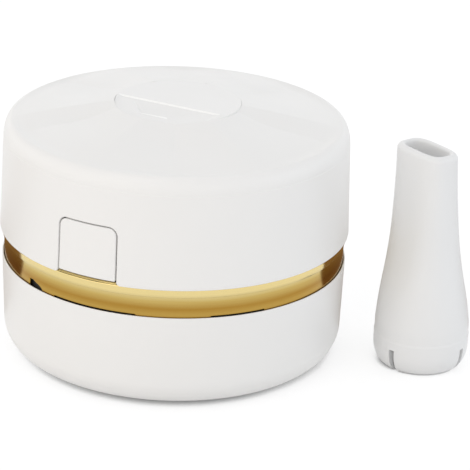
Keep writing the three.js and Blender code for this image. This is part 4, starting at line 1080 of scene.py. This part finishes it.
# Nozzle
def nozzle_wall():
    """The nozzle's wall between an outer and an inner surface of rings that meet over the rounded rim.
    Slots are left out of the foot."""
    foot = NOZZLE_FOOT_RISE * (1 - np.cos(np.linspace(0, QUARTER, 12)))
    rim_foot = NOZZLE_HEIGHT - NOZZLE_RIM_OUTSIDE[1]
    ledge = [NOZZLE_LEDGE_Z - NOZZLE_LEDGE_ROW, NOZZLE_LEDGE_Z, NOZZLE_LEDGE_Z + NOZZLE_LEDGE_ROW]
    filler = np.append(foot, np.arange(NOZZLE_FOOT_RISE, rim_foot, NOZZLE_ROW))
    height = lines([0, NOZZLE_SLOT_HEIGHT, *ledge, rim_foot], filler, apart=0.12)
    bottom = np.clip(1 - height / NOZZLE_FOOT_RISE, 0, 1)
    above_ledge = NOZZLE_LEDGE * (height > NOZZLE_LEDGE_Z + SAME_HEIGHT)
    inset = NOZZLE_FOOT_INSET * (1 - np.sqrt(1 - bottom**2)) + above_ledge
    wall = NOZZLE_LEDGE + NOZZLE_WALL
    inner_inset = np.maximum(inset + NOZZLE_FOOT_EDGE, wall)
    half = math.asin(NOZZLE_SLOT_HALF / NOZZLE_BASE)
    slots = (NOZZLE_SLOT_AZIMUTHS - NOZZLE_TURN) % TURN
    edges = np.concatenate([slots - half, slots + half]) % TURN
    turn = lines(edges, np.linspace(0, TURN, 241)[:-1], apart=0.012)
    outer = nozzle_side(turn, height, inset, NOZZLE_LEDGE, NOZZLE_RIM_OUTSIDE)
    inner = nozzle_side(turn, height, inner_inset, wall, NOZZLE_RIM_INSIDE)
    away = np.abs(wrapped(middles(turn, TURN)[:, None] - slots)).min(axis=1)
    in_slot = (away < half)[:, None] & (middles(outer[0, :, 2]) < NOZZLE_SLOT_HEIGHT)
    return [walled(outer, inner, ~in_slot)]


def nozzle_side(turn, height, inset, last_inset, rim):
    """One side of the nozzle's wall: rings up to the rim's foot, then a quarter ellipse over the rim."""
    radial, rise = rim
    over = np.linspace(0, QUARTER, 9)[1:]
    height = np.append(height, NOZZLE_HEIGHT - rise * (1 - np.sin(over)))
    return nozzle_rings(turn, height, np.append(inset, last_inset + radial * (1 - np.cos(over))))


def nozzle_rings(turn, height, inset):
    """Superellipse rings at heights, (|cos t / length|^p + |sin t / width|^p)^(-1/p), which go from the
    base's circle to the mouth's rounded slot. An inset draws them in, and they lean with height."""
    shares, left = NOZZLE_FLARE_SHARES.T
    up = np.clip((height - NOZZLE_BASE_TOP) / (NOZZLE_HEIGHT - NOZZLE_BASE_TOP), 0, 1)
    flare = smooth_curve(up, shares, left)
    length, width = (mouth + (NOZZLE_BASE - mouth) * flare - inset for mouth in NOZZLE_MOUTH)
    base_power, mouth_power = NOZZLE_POWERS
    power = mouth_power - (mouth_power - base_power) * np.sqrt(flare)
    turn = turn[:, None]
    reach = (np.abs(np.cos(turn) / length) ** power + np.abs(np.sin(turn) / width) ** power) ** (-1 / power)
    points = turned(around(turn, reach, height), NOZZLE_TURN) + (NOZZLE_X - AXIS_X, NOZZLE_Y, 0)
    points[..., 0] -= NOZZLE_LEAN * up
    return points


def smooth_curve(at, places, values):
    """A smooth curve through points: cubic pieces, whose slope at a point follows both its neighbours."""
    slope = np.gradient(values, places)
    index = np.clip(np.searchsorted(places, at, side="right") - 1, 0, len(places) - 2)
    span = places[index + 1] - places[index]
    t = (at - places[index]) / span
    low, high = values[index], values[index + 1]
    rise = slope[index] * span * (t**3 - 2 * t**2 + t) + slope[index + 1] * span * (t**3 - t**2)
    return low * (2 * t**3 - 3 * t**2 + 1) + high * (3 * t**2 - 2 * t**3) + rise


piece("bin_shell", dust_bin(), "dust_base", "shell", ["dust_bin"])
housing = piece("housing_shell", upper_housing(), "motor_unit", "shell", ["upper_housing"], closed=False)
thicken(housing, HOUSING_WALL, MOULDED_EDGE)
piece("housing_bosses", housing_bosses(), "motor_unit", "shell")
plate = piece("release_plate", release_plate(), "release_unit", "shell", ["release_button"], closed=False)
thicken(plate, RELEASE_WALL, MOULDED_EDGE)
piece("release_latch", latch_arms(), "release_unit", "shell")
piece("cover_shell", top_cover(), "motor_unit", "shell", ["top_cover"])
piece("button_cap", power_button(), "power_button_unit", "button", ["power_button"])
trim = piece("gold_trim", trim_ring(), "motor_unit", "gold", ["trim_ring"], closed=False)
thicken(trim, TRIM_WALL)
# A dark band of rubber finish that stands in for the shade behind the trim's windows
piece("waist_seal", waist_seal(), "motor_unit", "rubber")
piece("gold_sill", trim_sill(), "motor_unit", "gold")
spout = piece("crevice_nozzle", nozzle_wall(), "nozzle_unit", "shell", ["nozzle"])
spout.data.materials[0] = moulding("neutral_white", NEUTRAL_WHITE, 0.45)
# The photograph's gold doesn't mirror the nozzle.
spout.visible_glossy = False


# Camera, at the photograph's place: a lens and a sensor's width, a point on the axis and its pixel
LENS = 191.398
SENSOR = 36.0
PICTURE = 470
ELEVATION = math.radians(22.078)
ROLL = math.radians(2.154)
TARGET_Z = 30.0
DISTANCE = 604.241
TARGET_PIXEL = (174.647, 226.9)
NEAREST = 0.01
FARTHEST = 20.0


def camera():
    """The photograph's camera: it looks down at a point on the axis that lies off the picture's middle."""
    focal = LENS / SENSOR * PICTURE
    ahead = Vector((0, math.cos(ELEVATION), -math.sin(ELEVATION)))
    right = Vector((1, 0, 0))
    up = right.cross(ahead)
    level_right = right * math.cos(ROLL) + up * math.sin(ROLL)
    level_up = up * math.cos(ROLL) - right * math.sin(ROLL)
    across = (TARGET_PIXEL[0] - PICTURE / 2) / focal * DISTANCE
    above = (PICTURE / 2 - TARGET_PIXEL[1]) / focal * DISTANCE
    place = Vector((AXIS_X, 0, TARGET_Z)) - ahead * DISTANCE - level_right * across - level_up * above
    data = bpy.data.cameras.new("camera")
    data.lens = LENS
    data.sensor_width = SENSOR
    data.clip_start = NEAREST
    data.clip_end = FARTHEST
    made = bpy.data.objects.new("camera", data)
    turn = Matrix((level_right, level_up, -ahead)).transposed()
    made.matrix_world = Matrix.Translation(place * MM) @ turn.to_4x4()
    bpy.context.scene.collection.objects.link(made)
    bpy.context.scene.camera = made


# Studio, in metres and watts
FLOOR_HALF = 3.0
FLOOR_COLOUR = (0.85, 0.85, 0.85, 1)
FLOOR_GLOW = 0.75
SHADOW_COLOUR = (0.3, 0.3, 0.3, 1)
NO_COLOUR = (0, 0, 0, 1)
# Painted shade on the floor: how far it looks for nearby surfaces, and the openness at which its glow is full
CONTACT_DISTANCE = 0.03
CONTACT_OPEN = 0.25
CARD_MIDDLE = 0.0405
CARD_HALF = 0.0295
CARD_COLOUR = (0.3, 0.165, 0.06, 1)
AMBIENT = 0.865
AMBIENT_COLOUR = (0.975, 0.985, 1.0, 1)
# The surround's strength in reflections near the ground and overhead, and the rises between which it changes
MIRRORED_LOW = 1.28
MIRRORED_HIGH = 0.2
MIRRORED_RISES = (0.25, 0.6)
LAMP_TARGET = Vector((0, 0, 0.03))
# Lamps: azimuth and height angle in degrees, distance and size in metres, watts and colour.
LAMPS = {
    "back": (90, 40, 0.7, 0.5, 0.15, (1, 1, 1)),
    "front_left": (-135, 8, 0.7, 0.5, 0.5, (1, 0.82, 0.62)),
    "left": (-170, 10, 0.7, 0.5, 0.1, (1, 0.8, 0.5)),
    "right": (-10, 10, 0.7, 0.5, 0.5, (0.8, 0.88, 1)),
    "high_left": (-120, 45, 0.7, 0.4, 0.55, (1, 0.96, 0.94)),
}


def lamp(name, azimuth, height, distance, size, power, colour):
    """A square soft lamp that faces the object from an azimuth and a height angle."""
    level = distance * math.cos(math.radians(height))
    offset = Vector((*round_place(level, azimuth), distance * math.sin(math.radians(height))))
    data = bpy.data.lights.new(name, "AREA")
    data.shape = "SQUARE"
    data.size = size
    data.energy = power
    data.color = colour
    made = bpy.data.objects.new(name, data)
    made.location = LAMP_TARGET + offset
    made.rotation_mode = "QUATERNION"
    made.rotation_quaternion = (-offset).to_track_quat("-Z", "Y")
    bpy.context.scene.collection.objects.link(made)


def studio_floor():
    """A pale floor that shows white to the camera and in reflections, with the object's shadow on it: a real
    shadow in its diffuse part, and painted shade where its glow fades near the object and inside its hollows.
    A strip of it under the object's back half and behind it is a dark card, which only reflections show. Seen
    from below the floor is clear."""
    x, y = np.meshgrid([-FLOOR_HALF, FLOOR_HALF], [-FLOOR_HALF, FLOOR_HALF], indexing="ij")
    places, quads = grid(np.stack([x, y, np.zeros_like(x)], axis=-1))
    mesh = bpy.data.meshes.new("floor")
    mesh.from_pydata(places.tolist(), [], quads.tolist())
    made = bpy.data.objects.new("floor", mesh)
    bpy.context.scene.collection.objects.link(made)
    graph = Finish("floor")
    path = graph.node("ShaderNodeLightPath")
    glossy_ray = path["Is Glossy Ray"]
    seen = path["Is Camera Ray"] + glossy_ray + path["Is Transmission Ray"]
    # Painted shade: the floor's glow fades where other surfaces are near, round the object's foot and inside
    # its hollows
    near = graph.node("ShaderNodeAmbientOcclusion", (), {"Distance": CONTACT_DISTANCE})["AO"]
    glow_outside_painted_shade = graph.band(near, low=0.0, high=CONTACT_OPEN)
    card = glossy_ray * graph.within(graph.split(graph.place)["Y"], CARD_MIDDLE, CARD_HALF)
    tint = graph.blend(card, WHITE, CARD_COLOUR)
    plain = graph.node("ShaderNodeBsdfDiffuse", (), {"Color": FLOOR_COLOUR})
    shadow = graph.node("ShaderNodeBsdfDiffuse", (), {"Color": graph.blend(card, SHADOW_COLOUR, NO_COLOUR)})
    glow = graph.node("ShaderNodeEmission", (), {"Color": tint, "Strength": FLOOR_GLOW * glow_outside_painted_shade})
    shown = graph.node("ShaderNodeAddShader", (), {0: shadow["BSDF"], 1: glow["Emission"]})
    upper = graph.node("ShaderNodeMixShader", (), {0: seen, 1: plain["BSDF"], 2: shown["Shader"]})
    clear = graph.node("ShaderNodeBsdfTransparent")
    below = graph.node("ShaderNodeNewGeometry")["Backfacing"]
    both = graph.node("ShaderNodeMixShader", (), {0: below, 1: upper["Shader"], 2: clear["BSDF"]})
    graph.feed(graph.tree.nodes["Material Output"].inputs["Surface"], both["Shader"])
    mesh.materials.append(graph.material)


def studio_world():
    """The surround: white to the camera, even and faintly cool for diffuse light, and in reflections
    brighter near the ground than overhead."""
    world = bpy.data.worlds.new("studio")
    world.use_nodes = True
    graph = Graph(world.node_tree)
    path = graph.node("ShaderNodeLightPath")
    direction = graph.node("ShaderNodeTexCoord")["Generated"]
    rise = graph.band(graph.split(direction)["Z"], *MIRRORED_RISES)
    mirrored = path["Is Glossy Ray"] * (MIRRORED_LOW + (MIRRORED_HIGH - MIRRORED_LOW) * rise - AMBIENT)
    back = world.node_tree.nodes["Background"]
    graph.feed(back.inputs["Color"], graph.blend(path["Is Diffuse Ray"], WHITE, AMBIENT_COLOUR))
    graph.feed(back.inputs["Strength"], AMBIENT + mirrored + path["Is Camera Ray"] * (1 - AMBIENT))
    bpy.context.scene.world = world


camera()
studio_floor()
studio_world()
for name, row in LAMPS.items():
    lamp(name, *row)
bpy.context.scene.view_settings.view_transform = "Standard"
